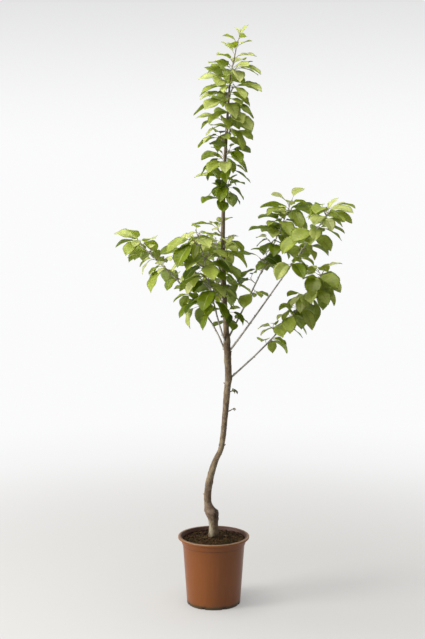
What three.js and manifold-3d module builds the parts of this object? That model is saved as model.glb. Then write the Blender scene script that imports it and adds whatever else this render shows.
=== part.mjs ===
// A young grafted sweet cherry tree in a round plastic nursery pot.
// Millimetres and degrees, +Z up. The origin is the centre of the pot's flat underside.
// +X is the tree's right and -Y its front. Azimuth 0 points along +X and 90 along +Y.
import * as THREE from "three";
import { mergeVertices } from "three/addons/utils/BufferGeometryUtils.js";
import Module from "manifold-3d";

const wasm = await Module();
wasm.setup();

// Driving dimensions

const CLEARANCE = 0.3; // between pieces that touch
const GOLDEN_TURN = 137.508; // from one bud to the next along a shoot

const POT = {
  height: 233,
  rimRadius: 120,
  lipHeight: 7,
  lipWidth: 10, // across the lip's flat top
  lipRise: 3, // the lip's underside slopes up by this from the band
  lipRound: 1.5,
  bandRadius: 107, // just under the lip
  bandFoot: 205, // height of the small step under the band
  bandStep: 2,
  shoulderRadius: 104, // just under that step
  footRadius: 90,
  footChamfer: 2,
  wall: 2.5,
  floor: 3,
  drains: 8,
  drainWidth: 13,
  drainHeight: 7,
  drainDepth: 10,
  facets: 32,
};

const SOIL = {
  edge: 222, // height where the compost meets the pot's wall
  top: 231, // height of the flat crown that the trunk stands on
  crownRadius: 27,
  rings: 3,
};

// Stations of the trunk's centre line: height, right, back, radius.
const TRUNK = {
  stations: [
    [231.3, 0, 0, 18],
    [290, -2, 0, 17.2],
    [316, -8.5, 0, 23],
    [345, -19.3, 1, 13],
    [385, -19.6, 3, 11.6],
    [440, -10, 3, 11.2],
    [490, 5.5, 3, 10.5],
    [540, 26, 0, 9.6],
    [700, 42, -3, 9.8],
    [790, 48.5, -1, 10.3],
    [880, 44, 1, 9.9],
    [1085, 34, 1, 7.6],
    [1240, 30.5, 0, 7],
    [1370, 32.5, 1, 5.4],
    [1560, 40, 2, 5],
    [1768, 53.5, 0, 2.6],
  ],
  graftTop: 400, // the sharper bends of the graft end here
  graftStep: 13,
  step: 58,
  facets: 10,
};

// The rootstock's cut end, beside the graft.
const STUB = { from: [3, -1, 296], to: [9, -4, 329], radii: [11.5, 7.5], facets: 8 };

// A bough leaves the trunk at a height and bends through three rises: root, middle and tip.
// Its foliage begins after the bare length. A spur has its share of the length and its leaf count.
// Leaf lengths are those at the root, middle and tip of the foliage, and droop runs from root to tip.
// A fan under 1 turns leaves outward.
const BOUGHS = [
  {
    name: "left_low", height: 826, azimuth: 157, swing: 4, rise: [76, 46, 43], length: 515,
    bare: 192, thick: 3.1, thin: 1.4, turn: 270, fan: 0.62, leaf: [74, 50, 86], droop: [0.95, 0.5],
    spurs: [[0.4, 4], [0.47, 4], [0.62, 2], [0.72, 2], [0.81, 3], [0.88, 4], [0.94, 5]],
    tuft: { leaves: 7, leaf: 88, lift: 34 }, shoots: [], seed: 473,
  },
  {
    name: "left_high", height: 880, azimuth: -133, swing: 6, rise: [60, 72, 62], length: 425,
    bare: 112, thick: 3.0, thin: 1.3, turn: 190, fan: 0.9, leaf: [92, 86, 80], droop: [1.0, 0.6],
    spurs: [[0.3, 3], [0.38, 3], [0.47, 4], [0.56, 4], [0.66, 4], [0.76, 5], [0.87, 4]],
    tuft: { leaves: 3, leaf: 52, lift: 42 },
    shoots: [
      { share: 0.5, azimuth: 176, rise: 42, length: 88 },
      { share: 0.68, azimuth: 182, rise: 30, length: 105 },
    ],
    seed: 448,
  },
  {
    name: "right_high", height: 897, azimuth: 30, swing: 5, rise: [58, 60, 64], length: 524,
    bare: 140, thick: 3.1, thin: 1.3, turn: 240, fan: 0.95, leaf: [72, 80, 88], droop: [0.7, 0.8],
    spurs: [[0.31, 1], [0.48, 2], [0.56, 3], [0.66, 4], [0.74, 5], [0.82, 5], [0.9, 5]],
    tuft: { leaves: 7, leaf: 80, lift: 56 }, shoots: [], seed: 465,
  },
  {
    name: "right_long", height: 855, azimuth: -17, swing: -4, rise: [53, 55, 53], length: 606,
    bare: 352, thick: 3.5, thin: 1.4, turn: 270, fan: 0.75, leaf: [72, 77, 82], droop: [0.7, 0.7],
    spurs: [[0.61, 3], [0.69, 3], [0.76, 4], [0.83, 4], [0.9, 4], [0.95, 4]],
    tuft: { leaves: 6, leaf: 78, lift: 36 }, shoots: [], seed: 1,
  },
  {
    name: "right_low", height: 767, azimuth: 13, swing: 6, rise: [39, 46, 58], length: 492,
    bare: 150, thick: 3.3, thin: 1.4, turn: 340, fan: 0.7, leaf: [78, 84, 90], droop: [0.8, 0.95],
    spurs: [[0.34, 2], [0.48, 3], [0.57, 3], [0.66, 4], [0.74, 4], [0.82, 5], [0.9, 5]],
    tuft: { leaves: 6, leaf: 78, lift: 34 }, shoots: [], seed: 21,
  },
  {
    name: "back", height: 985, azimuth: 97, swing: 6, rise: [42, 52, 62], length: 300,
    bare: 90, thick: 2.9, thin: 1.2, turn: 30, fan: 0.85, leaf: [82, 80, 78], droop: [0.9, 0.7],
    spurs: [[0.38, 3], [0.54, 4], [0.7, 4], [0.86, 4]],
    tuft: { leaves: 4, leaf: 60, lift: 40 }, shoots: [], seed: 206,
  },
];

// Short leafy spurs on the trunk. Paired values run from the top spur to the lowest.
const SPUR_RUNS = [
  {
    name: "leader", top: 1758, low: 1345, count: 18, turn: 50, reach: [24, 7],
    leaves: [6, 5], leaf: [80, 68], petiole: [27, 20], droop: [0.25, 0.5], seed: 700,
  },
  {
    name: "middle", top: 1255, low: 930, count: 8, turn: 170, reach: [14, 14],
    leaves: [3, 3], leaf: [76, 64], petiole: [24, 22], droop: [0.7, 0.7], seed: 967,
  },
];

// This year's shoot, which goes on from the trunk's tip.
const LEADER = {
  name: "leader_tip", azimuth: 20, rise: [72, 78, 70], length: 128,
  thick: 2.4, thin: 1.2, every: 12, leaf: 72, turn: 160, seed: 533,
};

// Shares of a leaf's length, and of its half width, that the growth rule keeps clear.
const BLADE_SPOTS = [
  [0.06, 0], [0.28, 0], [0.5, 0], [0.72, 0], [0.97, 0],
  [0.2, -0.7], [0.2, 0.7], [0.42, -0.95], [0.42, 0.95],
  [0.64, -0.85], [0.64, 0.85], [0.82, -0.45], [0.82, 0.45],
];
const PETIOLE_SPOTS = [0.35, 0.7, 1];
const BLADE_GUARD = 5; // radius that each spot of a blade keeps for itself
const PETIOLE_GUARD = 4;
const LIMB_GUARD = 1.5; // beyond a limb's own radius
const OWN_LEAF_SHARE = 0.9; // leaves of one mass may stand this much closer

// The faceted leaf of the solids: shares of its length, and of its half width there.
const LEAF = {
  stations: [[0.3, 0.95], [0.68, 0.93]],
  thickness: 1,
  smallest: 60, // a shorter leaf has no solid of its own, except on the leader's tip
  petioleRoot: 0.9,
  petioleNeck: 0.8,
};

const FINISH = {
  pot: { color: 0x8a4d2c, roughness: 0.45, metalness: 0 },
  soil: { color: 0x3a281d, roughness: 0.95, metalness: 0 },
  trunk: { color: 0x7d6d58, roughness: 0.8, metalness: 0 },
  bough: { color: 0x7a7068, roughness: 0.75, metalness: 0 },
  foliage: { color: 0x6f9426, roughness: 0.5, metalness: 0 },
};

// Small maths

const radians = THREE.MathUtils.degToRad;
const between = (pair, share) => pair[0] + (pair[1] - pair[0]) * share;

// A smooth run through three values: at share 0, at a half and at 1.
const through = (trio, k) =>
  trio[0] * (1 - k) * (1 - 2 * k) + trio[1] * 4 * k * (1 - k) + trio[2] * k * (2 * k - 1);

function heading(azimuth, rise) {
  const level = Math.cos(radians(rise));
  const a = radians(azimuth);
  return new THREE.Vector3(level * Math.cos(a), level * Math.sin(a), Math.sin(radians(rise)));
}

// A turn about a shoot, squeezed towards its outward side.
function fanned(turn, outward, fan) {
  const off = ((((turn - outward + 180) % 360) + 360) % 360) - 180;
  return outward + off * fan;
}

// Seeded numbers, always the same for the same seed.
class Dice {
  constructor(seed) {
    this.state = 1 + ((seed * 7919) % 2147483646);
    for (let i = 0; i < 3; i++) this.roll();
  }
  roll() {
    this.state = (this.state * 48271) % 2147483647;
    return this.state / 2147483647;
  }
  between(low, high) {
    return low + (high - low) * this.roll();
  }
}

// Centre lines

// Centre and radius of the trunk at a height, by cubic steps between its stations.
function trunkAt(height) {
  const stations = TRUNK.stations;
  const last = stations.length - 1;
  let i = 0;
  while (i < last - 1 && stations[i + 1][0] < height) i++;
  const a = stations[i];
  const b = stations[i + 1];
  const before = stations[Math.max(i - 1, 0)];
  const after = stations[Math.min(i + 2, last)];
  const rise = b[0] - a[0];
  const t = (height - a[0]) / rise;
  const [right, back, radius] = [1, 2, 3].map((k) => {
    const leave = ((b[k] - before[k]) / (b[0] - before[0])) * rise;
    const reach = ((after[k] - a[k]) / (after[0] - a[0])) * rise;
    return (
      (2 * t ** 3 - 3 * t ** 2 + 1) * a[k] + (t ** 3 - 2 * t ** 2 + t) * leave +
      (3 * t ** 2 - 2 * t ** 3) * b[k] + (t ** 3 - t ** 2) * reach
    );
  });
  return { centre: new THREE.Vector3(right, back, height), radius };
}

// Points of a limb that leaves start and bends through three rises: root, middle and tip.
function limbLine(start, azimuth, swing, rise, length, step = 8) {
  const count = Math.max(2, Math.ceil(length / step));
  const points = [start.clone()];
  for (let i = 0; i < count; i++) {
    const k = (i + 0.5) / count;
    const way = heading(azimuth + swing * k, through(rise, k));
    points.push(points[i].clone().addScaledVector(way, length / count));
  }
  return points;
}

function pointOn(points, share) {
  const t = share * (points.length - 1);
  const i = Math.min(Math.floor(t), points.length - 2);
  return points[i].clone().lerp(points[i + 1], t - i);
}

// Leaves

// A point on a leaf's blade: share of the length from neck to tip, side from -1 to 1 times spread.
// The midrib is an arc that bends down, and the halves fold up from it.
function bladePoint(leaf, share, side, spread) {
  const bend = leaf.pitchEnd - leaf.pitch;
  const pitch = leaf.pitch + bend * share;
  const out = (leaf.length * (Math.sin(pitch) - Math.sin(leaf.pitch))) / bend;
  const up = (-leaf.length * (Math.cos(pitch) - Math.cos(leaf.pitch))) / bend;
  const outward = new THREE.Vector3(Math.cos(leaf.azimuth), Math.sin(leaf.azimuth), 0);
  const level = new THREE.Vector3(outward.y, -outward.x, 0);
  const normal = outward.clone().multiplyScalar(-Math.sin(pitch));
  normal.z = Math.cos(pitch);
  const across = level.clone().multiplyScalar(Math.cos(leaf.roll));
  across.addScaledVector(normal, Math.sin(leaf.roll));
  const raised = normal.multiplyScalar(Math.cos(leaf.roll)).addScaledVector(level, -Math.sin(leaf.roll));
  const point = leaf.neck.clone().addScaledVector(outward, out);
  point.z += up;
  point.addScaledVector(across, spread * side * Math.cos(leaf.fold));
  return point.addScaledVector(raised, Math.abs(spread * side) * Math.sin(leaf.fold));
}

// What already stands in the crown, kept as small guard balls in a grid of cells.
class Room {
  constructor() {
    this.cell = 26;
    this.cells = new Map();
  }
  corner(point) {
    return [point.x, point.y, point.z].map((value) => Math.floor(value / this.cell));
  }
  add(point, radius, owner) {
    const key = this.corner(point).join();
    if (!this.cells.has(key)) this.cells.set(key, []);
    this.cells.get(key).push({ point: point.clone(), radius, owner });
  }
  near(point) {
    const [x, y, z] = this.corner(point);
    const found = [];
    for (let dx = -1; dx <= 1; dx++)
      for (let dy = -1; dy <= 1; dy++)
        for (let dz = -1; dz <= 1; dz++)
          found.push(...(this.cells.get([x + dx, y + dy, z + dz].join()) ?? []));
    return found;
  }
  free(point, radius, owner, ownShare) {
    return this.near(point).every((guard) => {
      const need = (radius + guard.radius) * (guard.owner === owner ? ownShare : 1);
      return point.distanceToSquared(guard.point) >= need * need;
    });
  }
}

const room = new Room();

// A mass is its stems and leaves. Each try at a leaf that touches something turns it wider.
function tryLeaf(mass, dice, bud, guard = BLADE_GUARD) {
  for (let go = 0; go < 7; go++) {
    const wild = 1 + 0.5 * go;
    const azimuth = radians(bud.azimuth + dice.between(-16, 16) * wild);
    const lift = radians(bud.lift + dice.between(-12, 12) * wild);
    const petiole = bud.petiole * dice.between(0.8, 1.2);
    const length = bud.size * dice.between(0.84, 1.14);
    const pitch = lift - radians(dice.between(6, 24) + 26 * bud.droop);
    const pitchEnd = Math.max(pitch - radians(dice.between(18, 44) + 14 * bud.droop), radians(-104));
    const outward = new THREE.Vector3(Math.cos(azimuth), Math.sin(azimuth), 0);
    const neck = bud.foot.clone().addScaledVector(outward, petiole * Math.cos(lift));
    neck.z += petiole * Math.sin(lift);
    const roll = radians(dice.between(-32, 32));
    const fold = radians(dice.between(6, 22));
    const width = length * dice.between(0.56, 0.68);
    const leaf = { foot: bud.foot, neck, azimuth, pitch, pitchEnd, roll, fold, length, width };
    const spots = BLADE_SPOTS.map(([share, side]) => bladePoint(leaf, share, side, width / 2));
    const stalk = PETIOLE_SPOTS.map((share) => bud.foot.clone().lerp(neck, share));
    if (!spots.every((spot) => room.free(spot, guard, mass.name, OWN_LEAF_SHARE))) continue;
    if (!stalk.every((spot) => room.free(spot, PETIOLE_GUARD, mass.name, 0))) continue;
    spots.forEach((spot) => room.add(spot, guard, mass.name));
    stalk.forEach((spot) => room.add(spot, PETIOLE_GUARD, mass.name));
    mass.leaves.push(leaf);
    return;
  }
}

// Growth

const stem = (points, thick, thin, facets, step) => ({ points, thick, thin, facets, step });

function guardLine(points, thick, thin, ownerAt) {
  points.forEach((point, i) => {
    const share = i / (points.length - 1);
    room.add(point, between([thick, thin], share) + LIMB_GUARD, ownerAt(share));
  });
}

function guardTrunk() {
  const top = TRUNK.stations.at(-1)[0];
  for (let height = 235; height < top; height += 9) {
    const { centre, radius } = trunkAt(height);
    room.add(centre, radius + LIMB_GUARD, "trunk");
  }
}

function growBough(plan) {
  const start = trunkAt(plan.height).centre;
  const points = limbLine(start, plan.azimuth, plan.swing, plan.rise, plan.length);
  const cut = plan.bare / plan.length;
  guardLine(points, plan.thick, plan.thin, (share) => (share >= cut ? plan.name : "limb"));
  const shoots = plan.shoots.map((shoot) => {
    const rise = [shoot.rise, shoot.rise + 8, shoot.rise + 12];
    const line = limbLine(pointOn(points, shoot.share), shoot.azimuth, 8, rise, shoot.length);
    line.slice(1).forEach((point) => room.add(point, 3.2, plan.name));
    return line;
  });
  const mass = { name: plan.name, stems: [stem(points, plan.thick, plan.thin, 6, 40)], leaves: [] };
  return { plan, points, cut, shoots, mass };
}

function growSpurs(run) {
  const spurs = [];
  for (let k = 0; k < run.count; k++) {
    const share = k / (run.count - 1);
    const dice = new Dice(run.seed + k);
    const azimuth = run.turn + k * GOLDEN_TURN + dice.between(-25, 25);
    const height = between([run.top, run.low], share) + dice.between(-9, 9);
    const { centre, radius } = trunkAt(height);
    const length = radius + 6 + between(run.reach, share) * dice.between(0.5, 1.2);
    const points = limbLine(centre, azimuth, 0, [30, 45, 60], length, 6);
    const mass = { name: `${run.name}_${k + 1}`, stems: [stem(points, 3.2, 2.8, 3, 20)], leaves: [] };
    points.slice(1).forEach((point) => room.add(point, 3.2, mass.name));
    spurs.push({ run, share, dice, azimuth, mass });
  }
  return spurs;
}

function growLeader() {
  const { name, azimuth, rise, length, thick, thin } = LEADER;
  const start = trunkAt(TRUNK.stations.at(-1)[0]).centre;
  const points = limbLine(start, azimuth, 0, rise, length);
  points.forEach((point) => room.add(point, 3.6, name));
  const mass = { name, smallest: 0, stems: [stem(points, thick, thin, 4, 26)], leaves: [] };
  return { points, mass };
}

// Small leaves all the way up the young shoot, the youngest at its tip.
function leafLeader({ points, mass }) {
  const dice = new Dice(LEADER.seed);
  const buds = Math.floor(LEADER.length / LEADER.every);
  for (let k = buds; k >= 0; k--) {
    const young = (k + 0.2) / (buds + 0.4);
    const bud = {
      foot: pointOn(points, young),
      azimuth: LEADER.turn + k * GOLDEN_TURN,
      lift: 44 + 26 * young,
      petiole: 20 - 9 * young,
      size: LEADER.leaf * (1.1 - 0.55 * young),
      droop: 0.3 - 0.25 * young,
    };
    tryLeaf(mass, dice, bud, 3.5);
  }
}

// A rosette of leaves at the tip of a spur on the trunk, turned away from the trunk.
function leafSpur({ run, share, dice, azimuth, mass }) {
  const count = Math.round(between(run.leaves, share));
  for (let j = 0; j < count; j++) {
    const bud = {
      foot: pointOn(mass.stems[0].points, 1 - 0.05 * (j + 0.5)),
      azimuth: azimuth + (j - (count - 1) / 2) * (310 / count),
      lift: 26 + dice.between(-16, 24),
      petiole: between(run.petiole, share),
      size: between(run.leaf, share),
      droop: between(run.droop, share),
    };
    tryLeaf(mass, dice, bud);
  }
}

// Sprays of leaves on short spurs along a bough's foliage.
function leafSprays({ plan, points, cut, mass }, dice) {
  plan.spurs.forEach(([share, count], k) => {
    const foot = pointOn(points, share);
    const out = (share - cut) / (1 - cut);
    const turn = plan.azimuth + k * GOLDEN_TURN + plan.turn + dice.between(-20, 20);
    const side = fanned(turn, plan.azimuth, plan.fan);
    const line = limbLine(foot, side, 0, [20, 40, 60], 8 + 18 * dice.roll(), 6);
    line.slice(1).forEach((point) => room.add(point, 2.8, plan.name));
    mass.stems.push(stem(line, 3.0, 2.6, 3, 30));
    for (let j = 0; j < count; j++) {
      const bud = {
        foot: pointOn(line, 1 - 0.12 * (j + 0.5)),
        azimuth: fanned(side + j * GOLDEN_TURN, plan.azimuth, plan.fan),
        lift: 20 + dice.between(-16, 20),
        petiole: 24,
        size: through(plan.leaf, out),
        droop: between(plan.droop, out),
      };
      tryLeaf(mass, dice, bud);
    }
  });
}

// Longer side shoots with a leaf at every bud.
function leafShoots({ plan, shoots, mass }, dice) {
  shoots.forEach((line, k) => {
    const shoot = plan.shoots[k];
    mass.stems.push(stem(line, 2.6, 2.2, 3, 30));
    const buds = Math.floor(shoot.length / 16);
    for (let j = buds; j > 0; j--) {
      const share = j / buds;
      const bud = {
        foot: pointOn(line, share),
        azimuth: shoot.azimuth + j * GOLDEN_TURN,
        lift: 34 - 8 * (1 - share),
        petiole: 20,
        size: through(plan.leaf, 0.6) * (0.95 - 0.3 * share),
        droop: 0.7 - 0.3 * share,
      };
      tryLeaf(mass, dice, bud);
    }
  });
}

// The tuft of leaves that closes a bough's tip.
function leafTuft({ plan, points, mass }, dice) {
  for (let k = 0; k <= plan.tuft.leaves; k++) {
    const bud = {
      foot: pointOn(points, 1 - 0.04 * (k + 0.2)),
      azimuth: fanned(plan.azimuth + 30 + k * GOLDEN_TURN, plan.azimuth, plan.fan),
      lift: plan.tuft.lift - 4 * k,
      petiole: 22,
      size: plan.tuft.leaf * (0.8 + 0.05 * k),
      droop: plan.droop[1] * (0.35 + 0.12 * k),
    };
    tryLeaf(mass, dice, bud);
  }
}

function leafBough(bough) {
  const dice = new Dice(bough.plan.seed);
  leafSprays(bough, dice);
  leafShoots(bough, dice);
  leafTuft(bough, dice);
}

guardTrunk();
const boughs = BOUGHS.map(growBough);
const leader = growLeader();
const spurs = SPUR_RUNS.flatMap(growSpurs);
leafLeader(leader);
spurs.forEach(leafSpur);
boughs.forEach(leafBough);

// Solids

function solidOf(geometry) {
  const bare = new THREE.BufferGeometry();
  bare.setAttribute("position", geometry.getAttribute("position"));
  bare.setIndex(geometry.getIndex());
  const merged = mergeVertices(bare, 1e-4);
  const triVerts = new Uint32Array(merged.getIndex().array);
  const vertProperties = merged.getAttribute("position").array;
  return new wasm.Manifold(new wasm.Mesh({ numProp: 3, vertProperties, triVerts }));
}

// The largest body of a solid, without the scraps that a cut leaves.
function largest(solid) {
  return solid.decompose().reduce((best, body) => (body.volume() > best.volume() ? body : best));
}

function geometryOf(solid) {
  const mesh = solid.getMesh();
  const geometry = new THREE.BufferGeometry();
  geometry.setAttribute("position", new THREE.BufferAttribute(mesh.vertProperties, 3));
  geometry.setIndex(new THREE.BufferAttribute(mesh.triVerts, 1));
  return geometry;
}

// Puts a cylinder or cone of one row per point onto rows that each place a point of its rim.
function bend(geometry, rows, place) {
  const position = geometry.getAttribute("position");
  for (let i = 0; i < position.count; i++) {
    const row = Math.round(position.getY(i) + rows / 2);
    const spot = place(row, position.getX(i), position.getZ(i));
    position.setXYZ(i, spot.x, spot.y, spot.z);
  }
  return solidOf(geometry);
}

// Directions along a line of points, each with a level pair that turns as little as it can.
function framesAlong(points) {
  const leaning = Math.abs(points[1].x - points[0].x) > 0.7 * points[1].distanceTo(points[0]);
  let across = leaning ? new THREE.Vector3(0, 1, 0) : new THREE.Vector3(1, 0, 0);
  return points.map((point, i) => {
    const before = points[Math.max(i - 1, 0)];
    const after = points[Math.min(i + 1, points.length - 1)];
    const along = after.clone().sub(before).normalize();
    across = across.clone().addScaledVector(along, -across.dot(along)).normalize();
    return { point, across, over: across.clone().cross(along) };
  });
}

// A round limb along a line of points, with the radius at each.
function limbSolid(points, radii, facets) {
  const rows = points.length - 1;
  const frames = framesAlong(points);
  const tube = new THREE.CylinderGeometry(1, 1, rows, facets, rows);
  return bend(tube, rows, (row, x, z) => {
    const { point, across, over } = frames[row];
    const spot = point.clone().addScaledVector(across, x * radii[row]);
    return spot.addScaledVector(over, z * radii[row]);
  });
}

// Points at even shares of a line, about a step apart.
function resample(points, from, to, step) {
  const length = points[0].distanceTo(points[1]) * (points.length - 1);
  const count = Math.max(1, Math.round((length * (to - from)) / step));
  return Array.from({ length: count + 1 }, (_, i) => pointOn(points, between([from, to], i / count)));
}

// Level rings up the trunk, so that its foot is one flat cut.
function trunkSolid(grown = 0) {
  const foot = TRUNK.stations[0][0];
  const top = TRUNK.stations.at(-1)[0] + grown;
  const low = Math.round((TRUNK.graftTop - foot) / TRUNK.graftStep);
  const high = Math.round((top - TRUNK.graftTop) / TRUNK.step);
  const rows = low + high;
  const tube = new THREE.CylinderGeometry(1, 1, rows, TRUNK.facets, rows);
  const body = bend(tube, rows, (row, x, z) => {
    const height =
      row < low
        ? between([foot, TRUNK.graftTop], row / low)
        : between([TRUNK.graftTop, top], (row - low) / high);
    const { centre, radius } = trunkAt(height);
    return new THREE.Vector3(x, -z, 0).multiplyScalar(radius + grown).add(centre);
  });
  const stub = [new THREE.Vector3(...STUB.from), new THREE.Vector3(...STUB.to)];
  return body.add(limbSolid(stub, STUB.radii, STUB.facets));
}

// Petiole and blade in one three-sided piece: two edges above, a keel along the midrib below.
function leafSolid(leaf) {
  const rows = LEAF.stations.length + 2;
  const stalk = framesAlong([leaf.foot, leaf.neck]);
  const cone = new THREE.CylinderGeometry(0, 1, rows, 3, rows, false, Math.PI);
  return bend(cone, rows, (row, x, z) => {
    if (row === rows) return bladePoint(leaf, 1, 0, 0);
    if (row < 2) {
      const { point, across, over } = stalk[row];
      const radius = row ? LEAF.petioleNeck : LEAF.petioleRoot;
      const shrink = radius / (1 - row / rows);
      return point.clone().addScaledVector(across, x * shrink).addScaledVector(over, z * shrink);
    }
    const [share, fullness] = LEAF.stations[row - 2];
    if (z > 0) return bladePoint(leaf, share, Math.sign(x), (leaf.width / 2) * fullness);
    const pitch = leaf.pitch + (leaf.pitchEnd - leaf.pitch) * share;
    const keel = bladePoint(leaf, share, 0, 0);
    keel.x += LEAF.thickness * Math.sin(pitch) * Math.cos(leaf.azimuth);
    keel.y += LEAF.thickness * Math.sin(pitch) * Math.sin(leaf.azimuth);
    keel.z -= LEAF.thickness * Math.cos(pitch);
    return keel;
  });
}

// A tapering stem between two shares of its line.
function stemSolid({ points, thick, thin, facets, step }, from, to) {
  const line = resample(points, from, to, step);
  const radii = line.map((_, i) => between([thick, thin], between([from, to], i / (line.length - 1))));
  return limbSolid(line, radii, facets);
}

// Stems and leaves of one mass, fused. The first stem carries the others.
// A leaf that would touch a bough or a mass already made is left out.
function massSolid({ stems, leaves, smallest = LEAF.smallest }, from, standing) {
  const woody = stems.map((part, i) => stemSolid(part, i ? 0 : from, 1));
  const green = leaves
    .filter((leaf) => leaf.length >= smallest)
    .map(leafSolid)
    .filter((leaf) => standing.every((solid) => leaf.minGap(solid, CLEARANCE) >= CLEARANCE));
  return [...woody, ...green].reduce((sum, piece) => sum.add(piece));
}

// Pot and compost

// Inner radius of the pot at a height.
function potInside(height) {
  if (height >= POT.bandFoot) return POT.bandRadius - POT.wall;
  const share = height / POT.bandFoot;
  return between([POT.footRadius, POT.shoulderRadius], share) - POT.wall;
}

function lathe(profile) {
  const points = profile.map(([radius, height]) => new THREE.Vector2(radius, height));
  const geometry = new THREE.LatheGeometry(points, POT.facets);
  return solidOf(geometry.rotateX(Math.PI / 2));
}

function potSolid() {
  const { height, rimRadius, wall, floor, footRadius, footChamfer, bandFoot, bandRadius } = POT;
  const lipFoot = height - POT.lipHeight;
  const inside = bandRadius - wall;
  const body = lathe(
    [
      [0, 0],
      [footRadius - footChamfer, 0],
      [footRadius, footChamfer],
      [POT.shoulderRadius, bandFoot],
      [bandRadius, bandFoot + POT.bandStep],
      [bandRadius, lipFoot - POT.lipRise],
      [rimRadius, lipFoot],
      [rimRadius, height - POT.lipRound],
      [rimRadius - POT.lipRound, height],
      [rimRadius - POT.lipWidth, height],
      [inside, lipFoot - POT.lipRise],
      [inside, bandFoot],
      [POT.shoulderRadius - wall, bandFoot],
      [potInside(floor), floor],
      [0, floor],
    ],
  );
  return Array.from({ length: POT.drains }, (_, k) => drain(k)).reduce((pot, cut) => pot.subtract(cut), body);
}

// A drain slot through the edge of the pot's floor.
function drain(k) {
  const slot = new THREE.BoxGeometry(POT.drainDepth, POT.drainWidth, 2 * POT.drainHeight);
  slot.translate(POT.footRadius, 0, 0);
  slot.rotateZ((2 * Math.PI * (k + 0.5)) / POT.drains);
  return solidOf(slot);
}

// Compost that fills the pot and rises in a low mound to the trunk.
function soilSolid() {
  const profile = [[0, POT.floor + CLEARANCE]];
  const heights = [POT.floor + CLEARANCE, POT.bandFoot - CLEARANCE, SOIL.edge];
  heights.forEach((height) => profile.push([potInside(height) - CLEARANCE, height]));
  const edgeRadius = potInside(SOIL.edge) - CLEARANCE;
  for (let ring = 1; ring <= SOIL.rings; ring++) {
    const share = ring / SOIL.rings;
    const rise = (SOIL.top - SOIL.edge) * Math.sin((share * Math.PI) / 2);
    profile.push([between([edgeRadius, SOIL.crownRadius], share), SOIL.edge + rise]);
  }
  profile.push([0, SOIL.top]);
  return lathe(profile);
}

// Assembly

const tree = new THREE.Group();
const inPot = new THREE.Group();
const crown = new THREE.Group();
tree.add(inPot, crown);

function addPart(group, name, solid, finish) {
  const mesh = new THREE.Mesh(geometryOf(largest(solid)), new THREE.MeshStandardMaterial(finish));
  mesh.name = name;
  group.add(mesh);
}

const shoot = leader.mass.stems[0];
const trunkClear = trunkSolid(CLEARANCE);
const leaderClear = stemSolid(
  { ...shoot, thick: shoot.thick + CLEARANCE, thin: shoot.thin + CLEARANCE }, 0, 1,
);
const standing = []; // boughs and masses, as they are made
addPart(inPot, "pot", potSolid(), FINISH.pot);
addPart(inPot, "soil", soilSolid(), FINISH.soil);
addPart(crown, "trunk", trunkSolid(), FINISH.trunk);
for (const { plan, cut, mass } of boughs) {
  standing.push(stemSolid(mass.stems[0], 0, cut).subtract(trunkClear));
  addPart(crown, `bough_${plan.name}`, standing.at(-1), FINISH.bough);
}
for (const { plan, cut, mass } of boughs) {
  const gap = CLEARANCE / plan.length;
  standing.push(massSolid(mass, cut + gap, standing));
  addPart(crown, `foliage_${plan.name}`, standing.at(-1), FINISH.foliage);
}
standing.push(massSolid(leader.mass, 0, standing).subtract(trunkClear));
addPart(crown, `foliage_${leader.mass.name}`, standing.at(-1), FINISH.foliage);
for (const { mass } of spurs) {
  const spur = massSolid(mass, 0, standing).subtract(trunkClear);
  standing.push(spur.subtract(leaderClear));
  addPart(crown, `foliage_${mass.name}`, standing.at(-1), FINISH.foliage);
}

export default tree;
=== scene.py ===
"""A young grafted sweet cherry tree in a round plastic nursery pot, dressed around its frame."""

import itertools
import math

import bpy
import numpy as np
from mathutils import Euler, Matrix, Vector, noise


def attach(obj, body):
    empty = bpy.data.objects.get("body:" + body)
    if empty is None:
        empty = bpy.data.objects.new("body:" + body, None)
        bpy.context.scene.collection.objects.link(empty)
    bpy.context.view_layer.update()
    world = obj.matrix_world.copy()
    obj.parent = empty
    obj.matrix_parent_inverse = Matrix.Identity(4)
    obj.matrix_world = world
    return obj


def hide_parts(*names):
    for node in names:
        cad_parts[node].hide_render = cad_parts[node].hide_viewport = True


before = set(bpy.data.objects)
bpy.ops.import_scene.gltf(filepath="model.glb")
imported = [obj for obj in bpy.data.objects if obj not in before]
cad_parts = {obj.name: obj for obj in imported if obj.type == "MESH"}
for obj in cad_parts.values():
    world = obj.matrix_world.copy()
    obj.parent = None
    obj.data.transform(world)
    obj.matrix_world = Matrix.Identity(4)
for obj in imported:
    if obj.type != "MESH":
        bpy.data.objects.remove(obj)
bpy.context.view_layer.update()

# Sizes of the plant, in millimetres and degrees, as the frame has them

MM = 0.001
GOLDEN_TURN = 137.508  # from one bud to the next along a shoot

POT = dict(
    height=233, rim=120, lip_height=7, lip_width=10, lip_rise=3,
    band=107, band_foot=205, band_step=2, shoulder=104, foot=90,
    band_flare=2.5, wall=2.5, floor=3, drains=8, drain_radius=6.5, segments=160,
    drain_reach=(84, 90, 97), sharp=38,
)
COMPOST = dict(
    edge=222, top=231, crown=27, gap=0.4, lumps=3.0, bank=4, rings=46, segments=120,
    heap=1.8, heap_from_axis=21, heap_width=6, grains=((0.9, 0.055), (1, 0.13), (0.45, 0.4)),
)

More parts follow.
